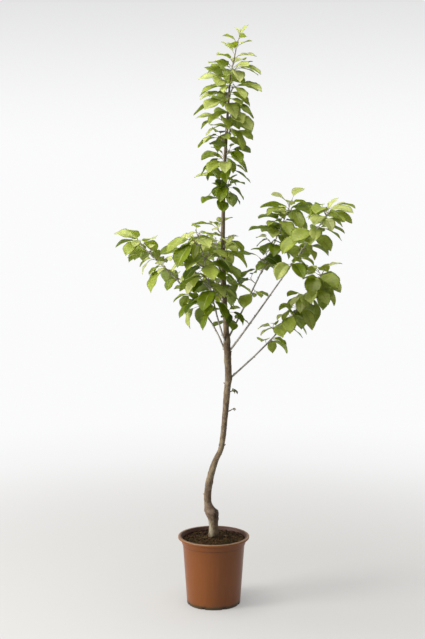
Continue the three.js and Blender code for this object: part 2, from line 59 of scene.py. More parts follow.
# Stations of the trunk's centre line: height, right, back, radius
TRUNK = [
    (231.3, 0, 0, 18), (290, -2, 0, 17.2), (316, -8.5, 0, 23), (345, -19.3, 1, 13), (385, -19.6, 3, 11.6),
    (440, -10, 3, 11.2), (490, 5.5, 3, 10.5), (540, 26, 0, 9.6), (700, 42, -3, 9.8), (790, 48.5, -1, 10.3),
    (880, 44, 1, 9.9), (1085, 34, 1, 7.6), (1240, 30.5, 0, 7), (1370, 32.5, 1, 5.4), (1560, 40, 2, 5),
    (1768, 53.5, 0, 2.6),
]
STUB = dict(foot=(3, -1, 296), tip=(9, -4, 329), radii=(11.5, 7.5), cut=327, slope=0.75)

BOUGHS = [
    dict(
        name="left_low", height=826, azimuth=157, swing=4, rise=(76, 46, 43), length=515,
        bare=192, thick=3.1, thin=1.4, turn=270, fan=0.62, leaf=(74, 50, 86), droop=(0.95, 0.5),
        spurs=((0.4, 4), (0.47, 4), (0.62, 2), (0.72, 2), (0.81, 3), (0.88, 4), (0.94, 5)),
        tuft=dict(leaves=7, leaf=88, lift=34), shoots=(), seed=473,
    ),
    dict(
        name="left_high", height=880, azimuth=-133, swing=6, rise=(60, 72, 62), length=425,
        bare=112, thick=3.0, thin=1.3, turn=190, fan=0.9, leaf=(92, 86, 80), droop=(1.0, 0.6),
        spurs=((0.3, 3), (0.38, 3), (0.47, 4), (0.56, 4), (0.66, 4), (0.76, 5), (0.87, 4)),
        tuft=dict(leaves=3, leaf=52, lift=42),
        shoots=(
            dict(share=0.5, azimuth=176, rise=42, length=88),
            dict(share=0.68, azimuth=182, rise=30, length=105),
        ),
        seed=448,
    ),
    dict(
        name="right_high", height=897, azimuth=30, swing=5, rise=(58, 60, 64), length=524,
        bare=140, thick=3.1, thin=1.3, turn=240, fan=0.95, leaf=(72, 80, 88), droop=(0.7, 0.8),
        spurs=((0.31, 1), (0.48, 2), (0.56, 3), (0.66, 4), (0.74, 5), (0.82, 5), (0.9, 5)),
        tuft=dict(leaves=7, leaf=80, lift=56), shoots=(), seed=465,
    ),
    dict(
        name="right_long", height=855, azimuth=-17, swing=-4, rise=(53, 55, 53), length=606,
        bare=352, thick=3.5, thin=1.4, turn=270, fan=0.75, leaf=(72, 77, 82), droop=(0.7, 0.7),
        spurs=((0.61, 3), (0.69, 3), (0.76, 4), (0.83, 4), (0.9, 4), (0.95, 4)),
        tuft=dict(leaves=6, leaf=78, lift=36), shoots=(), seed=1,
    ),
    dict(
        name="right_low", height=767, azimuth=13, swing=6, rise=(39, 46, 58), length=492,
        bare=150, thick=3.3, thin=1.4, turn=340, fan=0.7, leaf=(78, 84, 90), droop=(0.8, 0.95),
        spurs=((0.34, 2), (0.48, 3), (0.57, 3), (0.66, 4), (0.74, 4), (0.82, 5), (0.9, 5)),
        tuft=dict(leaves=6, leaf=78, lift=34), shoots=(), seed=21,
    ),
    dict(
        name="back", height=985, azimuth=97, swing=6, rise=(42, 52, 62), length=300,
        bare=90, thick=2.9, thin=1.2, turn=30, fan=0.85, leaf=(82, 80, 78), droop=(0.9, 0.7),
        spurs=((0.38, 3), (0.54, 4), (0.7, 4), (0.86, 4)),
        tuft=dict(leaves=4, leaf=60, lift=40), shoots=(), seed=206,
    ),
]

SPUR_RUNS = [
    dict(
        name="leader", top=1758, low=1345, count=18, turn=50, reach=(24, 7),
        leaves=(6, 5), leaf=(80, 68), petiole=(27, 20), droop=(0.25, 0.5), seed=700,
    ),
    dict(
        name="middle", top=1255, low=930, count=8, turn=170, reach=(14, 14),
        leaves=(3, 3), leaf=(76, 64), petiole=(24, 22), droop=(0.7, 0.7), seed=967,
    ),
]
# Pairs give a value at the shoot's foot and at its tip
LEADER = dict(
    name="leader_tip", azimuth=20, rise=(72, 78, 70), length=128, every=12, turn=160, seed=533,
    lift=(44, 70), petiole=(20, 11), size=(79.2, 39.6), droop=(0.3, 0.05), age=(0.22, 0),
)

# Shares of a leaf's length, and of its half width, that the growth rule keeps clear
BLADE_SPOTS = [
    (0.06, 0), (0.28, 0), (0.5, 0), (0.72, 0), (0.97, 0),
    (0.2, -0.7), (0.2, 0.7), (0.42, -0.95), (0.42, 0.95),
    (0.64, -0.85), (0.64, 0.85), (0.82, -0.45), (0.82, 0.45),
]
PETIOLE_SPOTS = (0.35, 0.7, 1)
OWN_LEAF_SHARE = 0.9
TRIES = 7
# Radius kept clear about each kind of part
GUARD = dict(blade=5, tip_blade=3.5, petiole=4, limb=1.5, leader=3.6, shoot=3.2, spray=2.8, twiglet=2)
# How leaves differ: degrees, and shares of the size they should have
VARIED = dict(
    azimuth=16, lift=12, petiole=(0.8, 1.2), length=(0.84, 1.14), nod=(6, 24), curl=(18, 44),
    roll=32, fold=(6, 22), width=(0.56, 0.68),
)
DROOPING = dict(nod=26, curl=14, steepest=-104)  # degrees that a full droop adds, and its limit

# Radius at the foot and at the tip of each kind of twig
TWIG = dict(leader=(2.4, 1.2), shoot=(2.6, 1.5), spur=(2.7, 2.0), spray=(2.4, 1.9), twiglet=(1.5, 1.0))
# What is the same for every spur, spray, side shoot and tuft. A leaf's age is about 1 when it is full grown
SPUR = dict(rise=(30, 45, 60), step=6, apart=0.05, lift=(10, 50), round=310, age=(0.06, 1.01))
SPRAY = dict(
    rise=(20, 40, 60), step=6, length=(8, 26), apart=0.12, lift=(4, 40), petiole=24, age=(0.72, 0.42),
)
SHOOT = dict(
    swing=8, curve=(0, 8, 12), every=16, size_at=0.6,
    lift=(26, 34), petiole=20, size=(0.95, 0.65), droop=(0.7, 0.4), age=(0.4, 0.2),
)
# Pairs give the value for the first leaf of a tuft and for the second, and go on by the same step
TUFT = dict(
    turn=30, share=(0.992, 0.952), sink=4, petiole=22, size=(0.8, 0.85), droop=(0.35, 0.47), age=(0.2, 0.23),
)
# Finer growth between the sprays: twiglets along the boughs and young leaves in every rosette
TWIGLET = dict(
    every=44, length=(10, 34), rise=(25, 40, 55), step=5, share=(1, 0.75, 0.5), turn=(-75, 0, 75),
    lift=(34, 24, 24), leaf=0.66, petiole=17, droop=0.8, age=(0.55, 0.25), guard=3.8,
)
YOUNG = dict(
    share=(0.99, 0.95), turn=(90, 270), lift=(40, 52), leaf=0.62, petiole=0.75, droop=0.5,
    age=(0.2, 0.4), guard=3.4,
)

# Leaf blade: serrate, pointed, quilted between its side veins
BLADE = dict(teeth=15, tooth=0.034, veins=8, lean=0.17, quilt=0.75, wave=1.7, thickness=0.34, twist=14)
RIB = 0.03  # half the midrib's width, as a share of the blade's half width
COLUMNS = (-1, -0.72, -0.38, -RIB, RIB, 0.38, 0.72, 1)
# Half width along the blade: shares of its length, and of its widest half width
OUTLINE = (
    (0, 0.03), (0.04, 0.31), (0.1, 0.56), (0.2, 0.82), (0.32, 0.96), (0.45, 1.03), (0.58, 1.03),
    (0.68, 0.93), (0.77, 0.74), (0.85, 0.5), (0.91, 0.28), (0.96, 0.11), (1, 0.02),
)

# Small things on the trunk: height, azimuth, length
BUD_STUBS = [(373, 180, 6), (511, 0, 5), (543, 5, 7), (753, 178, 7), (858, -8, 8), (603, 150, 4)]
DRIED_SPURS = [
    dict(height=661, azimuth=-4, length=17, leaves=3, leaf=12),
    dict(height=727, azimuth=-6, length=12, leaves=7, leaf=20),
]

# Small maths


def between(pair, share):
    return pair[0] + (pair[1] - pair[0]) * share


def through(trio, k):
    """A smooth run through three values: at share 0, at a half and at 1."""
    return trio[0] * (1 - k) * (1 - 2 * k) + trio[1] * 4 * k * (1 - k) + trio[2] * k * (2 * k - 1)


def smooth(low, high, value):
    t = np.clip((value - low) / (high - low), 0, 1)
    return t * t * (3 - 2 * t)


def heading(azimuth, rise):
    a = math.radians(azimuth)
    e = math.radians(rise)
    return (math.cos(e) * math.cos(a), math.cos(e) * math.sin(a), math.sin(e))


def along(point, direction, distance):
    return tuple(p + d * distance for p, d in zip(point, direction))


def mix(a, b, share):
    return tuple(p + (q - p) * share for p, q in zip(a, b))


def fanned(turn, outward, fan):
    """A turn about a shoot, squeezed towards its outward side."""
    return outward + ((turn - outward + 180) % 360 - 180) * fan


class Dice:
    """Seeded numbers, always the same for the same seed."""

    def __init__(self, seed):
        self.state = 1 + seed * 7919 % 2147483646
        for _ in range(3):
            self.roll()

    def roll(self):
        self.state = self.state * 48271 % 2147483647
        return self.state / 2147483647

    def between(self, low, high):
        return low + (high - low) * self.roll()

    def sway(self, size):
        return self.between(-size, size)


# Centre lines


def trunk_at(height):
    """Centre and radius of the trunk at a height, by cubic steps between its stations."""
    last = len(TRUNK) - 1
    i = 0
    while i < last - 1 and TRUNK[i + 1][0] < height:
        i += 1
    a, b = TRUNK[i], TRUNK[i + 1]
    before, after = TRUNK[max(i - 1, 0)], TRUNK[min(i + 2, last)]
    rise = b[0] - a[0]
    t = (height - a[0]) / rise
    found = []
    for k in (1, 2, 3):
        leave = (b[k] - before[k]) / (b[0] - before[0]) * rise
        reach = (after[k] - a[k]) / (after[0] - a[0]) * rise
        start = (2 * t**3 - 3 * t**2 + 1) * a[k] + (t**3 - 2 * t**2 + t) * leave
        found.append(start + (3 * t**2 - 2 * t**3) * b[k] + (t**3 - t**2) * reach)
    return (found[0], found[1], height), found[2]


def limb_line(start, azimuth, swing, rise, length, step=8):
    """Points of a limb that leaves start and bends through three rises: root, middle and tip."""
    count = max(2, math.ceil(length / step))
    points = [start]
    for i in range(count):
        k = (i + 0.5) / count
        way = heading(azimuth + swing * k, through(rise, k))
        points.append(along(points[-1], way, length / count))
    return points


def piece_of(points, share):
    """The two points on either side of a share of a line, and the share between them."""
    t = share * (len(points) - 1)
    i = min(int(t), len(points) - 2)
    return points[i], points[i + 1], t - i


def point_on(points, share):
    return mix(*piece_of(points, share))


def heading_on(points, share):
    before, after, _ = piece_of(points, share)
    return (Vector(after) - Vector(before)).normalized()


# Growth


def blade_frame(leaf, share, roll):
    """Middle of a bending blade at shares of its length, and the ways across it and up from it."""
    bend = leaf["pitch_end"] - leaf["pitch"]
    pitch = leaf["pitch"] + bend * share[..., None]
    out = leaf["length"] * (np.sin(pitch) - math.sin(leaf["pitch"])) / bend
    up = -leaf["length"] * (np.cos(pitch) - math.cos(leaf["pitch"])) / bend
    east, north = math.cos(leaf["azimuth"]), math.sin(leaf["azimuth"])
    outward, level, upward = np.array([(east, north, 0), (north, -east, 0), (0, 0, 1.0)])
    normal = np.cos(pitch) * upward - np.sin(pitch) * outward
    turn, tilt = np.cos(roll)[..., None], np.sin(roll)[..., None]
    middle = np.array(leaf["neck"]) + out * outward + up * upward
    return middle, turn * level + tilt * normal, turn * normal - tilt * level


def blade_guards(leaf):
    """The points of a blade that the growth rule keeps clear."""
    share, side = np.array(BLADE_SPOTS).T
    middle, across, raised = blade_frame(leaf, share, np.full(len(share), leaf["roll"]))
    spread = side[:, None] * leaf["width"] / 2
    lift = raised * abs(spread) * math.sin(leaf["fold"])
    return (middle + across * spread * math.cos(leaf["fold"]) + lift).tolist()


class Room:
    """What already stands in the crown, kept as small guard balls in a grid of cells."""

    def __init__(self):
        self.cell = 26
        self.cells = {}

    def corner(self, point):
        return tuple(math.floor(value / self.cell) for value in point)

    def fill(self, points, radius, owner):
        for point in points:
            self.cells.setdefault(self.corner(point), []).append((point, radius, owner))

    def near(self, point):
        x, y, z = self.corner(point)
        for dx, dy, dz in itertools.product((-1, 0, 1), repeat=3):
            yield from self.cells.get((x + dx, y + dy, z + dz), ())

    def free(self, points, radius, owner, own_share):
        for point in points:
            for other, size, who in self.near(point):
                need = (radius + size) * (own_share if who == owner else 1)
                if sum((p - q) ** 2 for p, q in zip(point, other)) < need * need:
                    return False
        return True


room = Room()


def new_mass(name, *twigs):
    """The twigs and leaves of one mass. A twig is its line and its kind."""
    return dict(name=name, twigs=list(twigs), leaves=[])


def try_leaf(mass, dice, foot, azimuth, lift, petiole, size, droop, age, guard=GUARD["blade"]):
    """Adds a leaf to a mass. Each try at a leaf that touches something turns it wider."""
    for go in range(TRIES):
        wild = 1 + 0.5 * go
        turn = math.radians(azimuth + dice.sway(VARIED["azimuth"]) * wild)
        rise = math.radians(lift + dice.sway(VARIED["lift"]) * wild)
        stalk = petiole * dice.between(*VARIED["petiole"])
        length = size * dice.between(*VARIED["length"])
        pitch = rise - math.radians(dice.between(*VARIED["nod"]) + DROOPING["nod"] * droop)
        curl = math.radians(dice.between(*VARIED["curl"]) + DROOPING["curl"] * droop)
        neck = (
            foot[0] + stalk * math.cos(rise) * math.cos(turn),
            foot[1] + stalk * math.cos(rise) * math.sin(turn),
            foot[2] + stalk * math.sin(rise),
        )
        leaf = dict(
            foot=foot, neck=neck, azimuth=turn, length=length, age=age, pitch=pitch,
            pitch_end=max(pitch - curl, math.radians(DROOPING["steepest"])),
            roll=math.radians(dice.sway(VARIED["roll"])),
            fold=math.radians(dice.between(*VARIED["fold"])),
            width=length * dice.between(*VARIED["width"]),
        )
        blade = blade_guards(leaf)
        stem = [mix(foot, neck, share) for share in PETIOLE_SPOTS]
        if not room.free(blade, guard, mass["name"], OWN_LEAF_SHARE):
            continue
        if room.free(stem, min(GUARD["petiole"], guard), mass["name"], 0):
            room.fill(blade, guard, mass["name"])
            room.fill(stem, GUARD["petiole"], mass["name"])
            mass["leaves"].append(leaf)
            return


def guard_trunk(foot=235, step=9):
    for height in range(foot, TRUNK[-1][0], step):
        centre, radius = trunk_at(height)
        room.fill([centre], radius + GUARD["limb"], "trunk")


def grow_bough(plan):
    name = plan["name"]
    start = trunk_at(plan["height"])[0]
    points = limb_line(start, plan["azimuth"], plan["swing"], plan["rise"], plan["length"])
    cut = plan["bare"] / plan["length"]
    for i, point in enumerate(points):
        share = i / (len(points) - 1)
        radius = between((plan["thick"], plan["thin"]), share)
        room.fill([point], radius + GUARD["limb"], name if share >= cut else "limb")
    shoots = []
    for shoot in plan["shoots"]:
        rise = [shoot["rise"] + more for more in SHOOT["curve"]]
        foot = point_on(points, shoot["share"])
        line = limb_line(foot, shoot["azimuth"], SHOOT["swing"], rise, shoot["length"])
        room.fill(line[1:], GUARD["shoot"], name)
        shoots.append(line)
    mass = new_mass(name, *((line, "shoot") for line in shoots))
    return dict(plan=plan, points=points, cut=cut, shoots=shoots, mass=mass)


def grow_spurs(run):
    spurs = []
    for k in range(run["count"]):
        share = k / (run["count"] - 1)
        dice = Dice(run["seed"] + k)
        azimuth = run["turn"] + k * GOLDEN_TURN + dice.sway(25)
        height = between((run["top"], run["low"]), share) + dice.sway(9)
        centre, radius = trunk_at(height)
        length = radius + 6 + between(run["reach"], share) * dice.between(0.5, 1.2)
        points = limb_line(centre, azimuth, 0, SPUR["rise"], length, SPUR["step"])
        mass = new_mass(f"{run['name']}_{k + 1}", (points, "spur"))
        room.fill(points[1:], GUARD["shoot"], mass["name"])
        spurs.append(dict(run=run, share=share, dice=dice, azimuth=azimuth, points=points, mass=mass))
    return spurs


def grow_leader():
    start = trunk_at(TRUNK[-1][0])[0]
    points = limb_line(start, LEADER["azimuth"], 0, LEADER["rise"], LEADER["length"])
    room.fill(points, GUARD["leader"], LEADER["name"])
    return dict(points=points, mass=new_mass(LEADER["name"], (points, "leader")))


def leaf_leader(leader):
    """Small leaves all the way up the young shoot, the youngest at its tip."""
    dice = Dice(LEADER["seed"])
    buds = LEADER["length"] // LEADER["every"]
    for k in range(buds, -1, -1):
        share = (k + 0.2) / (buds + 0.4)
        habit = {key: between(LEADER[key], share) for key in ("lift", "petiole", "size", "droop", "age")}
        try_leaf(
            leader["mass"], dice, foot=point_on(leader["points"], share),
            azimuth=LEADER["turn"] + k * GOLDEN_TURN, guard=GUARD["tip_blade"], **habit,
        )


def leaf_tip(leader):
    """The youngest leaf, still upright on the very tip."""
    try_leaf(
        leader["mass"], Dice(5), foot=leader["points"][-1], azimuth=4, lift=62, petiole=6,
        size=35, droop=-0.7, age=0.5, guard=GUARD["tip_blade"],
    )


def leaf_spur(spur):
    """A rosette of leaves at the tip of a spur on the trunk, turned away from the trunk."""
    run, share, dice = spur["run"], spur["share"], spur["dice"]
    count = math.floor(between(run["leaves"], share) + 0.5)
    for j in range(count):
        try_leaf(
            spur["mass"], dice, foot=point_on(spur["points"], 1 - SPUR["apart"] * (j + 0.5)),
            azimuth=spur["azimuth"] + (j - (count - 1) / 2) * (SPUR["round"] / count),
            lift=dice.between(*SPUR["lift"]), petiole=between(run["petiole"], share),
            size=between(run["leaf"], share), droop=between(run["droop"], share),
            age=between(SPUR["age"], share),
        )


def leaf_sprays(bough, dice):
    """Sprays of leaves on short spurs along a bough's foliage."""
    plan, points, cut, mass = bough["plan"], bough["points"], bough["cut"], bough["mass"]
    for k, (share, count) in enumerate(plan["spurs"]):
        out = (share - cut) / (1 - cut)
        turn = plan["azimuth"] + k * GOLDEN_TURN + plan["turn"] + dice.sway(20)
        side = fanned(turn, plan["azimuth"], plan["fan"])
        length = dice.between(*SPRAY["length"])
        line = limb_line(point_on(points, share), side, 0, SPRAY["rise"], length, SPRAY["step"])
        room.fill(line[1:], GUARD["spray"], plan["name"])
        mass["twigs"].append((line, "spray"))
        for j in range(count):
            try_leaf(
                mass, dice, foot=point_on(line, 1 - SPRAY["apart"] * (j + 0.5)),
                azimuth=fanned(side + j * GOLDEN_TURN, plan["azimuth"], plan["fan"]),
                lift=dice.between(*SPRAY["lift"]), petiole=SPRAY["petiole"],
                size=through(plan["leaf"], out), droop=between(plan["droop"], out),
                age=between(SPRAY["age"], out),
            )


def leaf_shoots(bough, dice):
    """Longer side shoots with a leaf at every bud."""
    plan = bough["plan"]
    for shoot, line in zip(plan["shoots"], bough["shoots"]):
        buds = shoot["length"] // SHOOT["every"]
        largest = through(plan["leaf"], SHOOT["size_at"])
        for j in range(buds, 0, -1):
            share = j / buds
            try_leaf(
                bough["mass"], dice, foot=point_on(line, share),
                azimuth=shoot["azimuth"] + j * GOLDEN_TURN, lift=between(SHOOT["lift"], share),
                petiole=SHOOT["petiole"], size=largest * between(SHOOT["size"], share),
                droop=between(SHOOT["droop"], share), age=between(SHOOT["age"], share),
            )


def leaf_tuft(bough, dice):
    """The tuft of leaves that closes a bough's tip."""
    plan, tuft = bough["plan"], bough["plan"]["tuft"]
    for k in range(tuft["leaves"] + 1):
        try_leaf(
            bough["mass"], dice, foot=point_on(bough["points"], between(TUFT["share"], k)),
            azimuth=fanned(plan["azimuth"] + TUFT["turn"] + k * GOLDEN_TURN, plan["azimuth"], plan["fan"]),
            lift=tuft["lift"] - TUFT["sink"] * k, petiole=TUFT["petiole"],
            size=tuft["leaf"] * between(TUFT["size"], k),
            droop=plan["droop"][1] * between(TUFT["droop"], k), age=between(TUFT["age"], k),
        )


def leaf_bough(bough):
    dice = Dice(bough["plan"]["seed"])
    for leaf in (leaf_sprays, leaf_shoots, leaf_tuft):
        leaf(bough, dice)


def fill_bough(bough):
    """Finer twiglets between the sprays, each with a few smaller leaves."""
    plan, points, cut, mass = bough["plan"], bough["points"], bough["cut"], bough["mass"]
    dice = Dice(plan["seed"] + 1000)
    count = int(plan["length"] * (1 - cut) / TWIGLET["every"])
    for k in range(count):
        share = cut + (1 - cut) * (k + 0.6) / count
        out = (share - cut) / (1 - cut)
        side = plan["azimuth"] + k * GOLDEN_TURN + dice.sway(30)
        length = dice.between(*TWIGLET["length"])
        line = limb_line(point_on(points, share), side, 0, TWIGLET["rise"], length, TWIGLET["step"])
        if not room.free(line[1:], GUARD["twiglet"], plan["name"], 0):
            continue
        mass["twigs"].append((line, "twiglet"))
        for at, turn, lift in zip(TWIGLET["share"], TWIGLET["turn"], TWIGLET["lift"]):
            try_leaf(
                mass, dice, foot=point_on(line, at), azimuth=side + turn, lift=lift,
                petiole=TWIGLET["petiole"], size=through(plan["leaf"], out) * TWIGLET["leaf"],
                droop=between(plan["droop"], out) * TWIGLET["droop"],
                age=between(TWIGLET["age"], out), guard=TWIGLET["guard"],
            )


def fill_spur(spur):
    """Young leaves in the middle of a rosette."""
    run, share = spur["run"], spur["share"]
    dice = Dice(run["seed"] + 2000 + int(1000 * share))
    for at, turn, lift in zip(YOUNG["share"], YOUNG["turn"], YOUNG["lift"]):
        try_leaf(
            spur["mass"], dice, foot=point_on(spur["points"], at), azimuth=spur["azimuth"] + turn,
            lift=lift, petiole=between(run["petiole"], share) * YOUNG["petiole"],
            size=between(run["leaf"], share) * YOUNG["leaf"],
            droop=between(run["droop"], share) * YOUNG["droop"],
            age=between(YOUNG["age"], share), guard=YOUNG["guard"],
        )


guard_trunk()
boughs = [grow_bough(plan) for plan in BOUGHS]
leader = grow_leader()
spurs = [spur for run in SPUR_RUNS for spur in grow_spurs(run)]
leaf_leader(leader)
for spur in spurs:
    leaf_spur(spur)
for bough in boughs:
    leaf_bough(bough)
for spur in spurs:
    fill_spur(spur)
for bough in boughs:
    fill_bough(bough)
leaf_tip(leader)

# Meshes


def show(name, data):
    """An object in the scene, with its mesh, lamp or camera."""
    made = bpy.data.objects.new(name, data)
    bpy.context.scene.collection.objects.link(made)
    return made


class Shape:
    """Points in millimetres and faces of one piece, with a finish number for each face."""

    def __init__(self):
        self.points, self.faces, self.finishes, self.charts = [], [], [], []
        self.count = 0

    def add(self, points, faces, finish=0, chart=None):
        self.points.append(np.asarray(points, float))
        if chart is not None:
            self.charts.append(chart)
        self.faces.extend(tuple(self.count + corner for corner in face) for face in faces)
        self.finishes.extend([finish] * len(faces) if isinstance(finish, int) else finish)
        self.count += len(points)

    def add_tube(self, rings, finish=0):
        self.add(*grid_tube(rings), finish)

    def mesh(self, name):
        made = bpy.data.meshes.new(name)
        made.from_pydata((np.concatenate(self.points) * MM).tolist(), [], self.faces)
        return made

    def piece(self, name, slot, materials, *nodes):
        """The piece on the tree's body, with the CAD nodes that it stands for."""
        mesh = self.mesh(name)
        for material in materials:
            mesh.materials.append(material)
        mesh.polygons.foreach_set("material_index", self.finishes)
        mesh.polygons.foreach_set("use_smooth", [True] * len(self.faces))
        if self.charts:
            corners = np.empty(len(mesh.loops), int)
            mesh.loops.foreach_get("vertex_index", corners)
            layer = mesh.uv_layers.new(name="blade")
            layer.uv.foreach_set("vector", np.concatenate(self.charts)[corners].ravel())
        mesh.update()
        made = show(name, mesh)
        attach(made, "root")
        if nodes:
            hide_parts(*nodes)
        return made


def rim_ways(count):
    """Level directions all round an upright axis."""
    angles = np.arange(count) * 2 * math.pi / count
    return np.stack([np.cos(angles), np.sin(angles), np.zeros(count)], axis=1)


def grid_tube(rings):
    """Points and faces of a closed tube from an array of rings, rows by sides by three."""
    rows, sides = rings.shape[:2]
    ends = np.stack([rings[0].mean(axis=0), rings[-1].mean(axis=0)])
    points = np.concatenate([rings.reshape(-1, 3), ends])
    faces = []
    for row, k in itertools.product(range(rows - 1), range(sides)):
        after, here, up = (k + 1) % sides, row * sides, (row + 1) * sides
        faces.append((here + k, here + after, up + after, up + k))
    foot, tip, top = rows * sides, rows * sides + 1, (rows - 1) * sides
    for k in range(sides):
        after = (k + 1) % sides
        faces.append((after, k, foot))
        faces.append((top + k, top + after, tip))
    return points, faces


def tube_rings(line, radii, sides, relief=None):
    """Rings round a line, turning as little as they can. Relief gives the height of the surface."""
    line = np.asarray(line, float)
    ways = np.gradient(line, axis=0)
    ways /= np.linalg.norm(ways, axis=1)[:, None]
    across = np.array([1.0, 0.0, 0.0]) if abs(ways[0][0]) < 0.7 else np.array([0.0, 1.0, 0.0])
    rim = rim_ways(sides)
    rings = np.empty((len(line), sides, 3))
    for row, way in enumerate(ways):
        across = across - way * across.dot(way)
        across /= np.linalg.norm(across)
        round_line = np.outer(rim[:, 0], across) + np.outer(rim[:, 1], np.cross(way, across))
        rings[row] = line[row] + round_line * radii[row]
    if relief is not None:
        outward = rings - line[:, None]
        outward /= np.linalg.norm(outward, axis=2)[:, :, None]
        rings += outward * relief(rings)[:, :, None]
    return rings


def grain(points, scale):
    """Smooth noise from -1 to 1 at each point, with its own scale along each axis."""
    spots = points.reshape(-1, 3) * np.asarray(scale)
    return np.array([noise.noise(Vector(spot)) for spot in spots]).reshape(points.shape[:-1])


def resample(points, step):
    """Points along a line at an even step, and how far along it each one is."""
    line = np.asarray(points, float)
    run = np.concatenate([[0], np.cumsum(np.linalg.norm(np.diff(line, axis=0), axis=1))])
    at = np.linspace(0, run[-1], max(3, int(run[-1] / step) + 1))
    return np.stack([np.interp(at, run, line[:, k]) for k in range(3)], axis=1), at


# Bark: heights and widths in millimetres, azimuths in degrees

# The relief is as deep as said here where the trunk's radius is "full", and less or more elsewhere
BARK = dict(step=2.4, sides=52, full=9, thickness=(0.35, 1.4))
LUMPS = dict(scale=(0.05, 0.05, 0.03), size=0.75)
FURROWS = dict(scale=(0.26, 0.26, 0.05), stock=1.5, stem=0.25)
PORES = dict(scale=(0.16, 0.16, 1.1), shift=40, over=0.28, size=1.1)
FLARE = dict(foot=229, fade=13, roots=((195, 2.6), (285, 1.6), (20, 1.4), (110, 1.6)))  # azimuth, ridge
GRAFT = dict(height=306, slant=7, azimuth=170, depth=1.7, width=3.2)
STOCK_TOP = (345, 300)
HEEL = dict(size=2.0, below=8, width=7)
CALLUS = dict(span=(296, 304, 330, 344), azimuth=-20, size=3.4, scale=0.12)
WAIST = (295, 262)
# More girth than the stations give: size, then where it starts, is full, fades and ends
GIRTHS = ((0.9, 620, 700, 880, 960), (0.9, 345, 365, 470, 520))
SHOULDERS = ((1.3, 300, 9), (-1.2, 331, 8))  # size, height, width
COLLAR = dict(above=3, size=2.4, width=9)
SCARS = dict(foot=415, top=1740, apart=(26, 40), size=1.1, width=3.4, seed=77)


def hump(value, middle, width):
    return np.exp(-(((value - middle) / width) ** 2))


def facing(angles, azimuth):
    """1 on the side at an azimuth, falling to 0 a quarter of a turn away."""
    return np.clip(np.cos(np.radians(angles - azimuth)), 0, 1)


def stretch(heights, start, full, fade, end):
    return smooth(start, full, heights) * smooth(end, fade, heights)


def trunk_swellings():
    """Collars under the boughs and leaf scars in a spiral up the trunk: height, azimuth, size, width."""
    for plan in BOUGHS:
        yield plan["height"] + COLLAR["above"], plan["azimuth"], COLLAR["size"], COLLAR["width"]
    dice = Dice(SCARS["seed"])
    height = SCARS["foot"]
    turn = 0
    while height < SCARS["top"]:
        yield height, turn + dice.sway(20), SCARS["size"] * smooth(1900, 700, height), SCARS["width"]
        height += dice.between(*SCARS["apart"])
        turn += GOLDEN_TURN


def trunk_relief(rings, middles, radii):
    """Height of the bark over the trunk's plain taper, in millimetres."""
    heights = rings[..., 2]
    away = rings - middles[:, None]
    angles = np.degrees(np.arctan2(away[..., 1], away[..., 0]))
    around = np.linalg.norm(away[..., :2], axis=2)
    stock = smooth(*STOCK_TOP, heights)
    thickness = np.clip(radii[:, None] / BARK["full"], *BARK["thickness"])
    relief = grain(rings, LUMPS["scale"]) * LUMPS["size"] * thickness
    depth = FURROWS["stock"] * stock + FURROWS["stem"] * thickness
    relief -= np.abs(grain(rings, FURROWS["scale"])) * depth
    pores = np.clip(grain(rings + PORES["shift"], PORES["scale"]) - PORES["over"], 0, 1)
    relief += pores * PORES["size"] * (1 - stock) * thickness
    for azimuth, ridge in FLARE["roots"]:
        fading = np.exp(-np.clip(heights - FLARE["foot"], 0, None) / FLARE["fade"])
        relief += ridge * facing(angles, azimuth) ** 3 * fading
    seam = GRAFT["height"] + GRAFT["slant"] * np.cos(np.radians(angles - GRAFT["azimuth"]))
    relief -= GRAFT["depth"] * hump(heights, seam, GRAFT["width"])
    relief += HEEL["size"] * hump(heights, seam - HEEL["below"], HEEL["width"]) * facing(angles, 0)
    for height, azimuth, size, width in trunk_swellings():
        beside = np.radians((angles - azimuth + 180) % 360 - 180) * around
        relief += size * np.exp(-((heights - height) ** 2 + beside**2) / (2 * width**2))
    relief -= smooth(*WAIST, heights)
    for size, *span in GIRTHS:
        relief += size * stretch(heights, *span)
    for size, height, width in SHOULDERS:
        relief += size * hump(heights, height, width)
    callus = stretch(heights, *CALLUS["span"]) * facing(angles, CALLUS["azimuth"])
    return relief + CALLUS["size"] * np.abs(grain(rings, CALLUS["scale"])) * callus


def make_trunk(bark):
    heights = np.arange(COMPOST["top"] - 4, TRUNK[-1][0] + 1, BARK["step"])
    stations = [trunk_at(height) for height in heights]
    middles = np.array([centre for centre, _ in stations])
    radii = np.array([radius for _, radius in stations])
    rim = rim_ways(BARK["sides"])
    rings = middles[:, None] + rim * radii[:, None, None]
    rings += rim * trunk_relief(rings, middles, radii)[..., None]
    shape = Shape()
    shape.add_tube(rings)
    shape.piece("bark_trunk", "trunk_bark", [bark], "trunk")


def make_stub(bark, cut_wood):
    """The rootstock's slanting cut end beside the graft."""
    line, at = resample([STUB["foot"], STUB["tip"]], step=1.6)
    share = at / at[-1]
    radii = between(STUB["radii"], share) * np.sqrt(np.clip(1 - (share * 0.97) ** 9, 0.02, 1))
    rings = tube_rings(line, radii, 36, lambda r: grain(r, (0.2, 0.2, 0.07)) * 0.9)
    points, faces = grid_tube(rings)
    middle = (STUB["foot"][0] + STUB["tip"][0]) / 2
    slant = points[:, 2] + STUB["slope"] * (points[:, 0] - middle)
    over = np.clip(slant - STUB["cut"], 0, None)
    points[:, 2] -= over * 0.8
    points[:, 0] -= over * 0.25
    shape = Shape()
    shape.add(points, faces, [int(all(over[corner] > 0.2 for corner in face)) for face in faces])
    shape.piece("rootstock_stub", "trunk_bark", [bark, cut_wood])


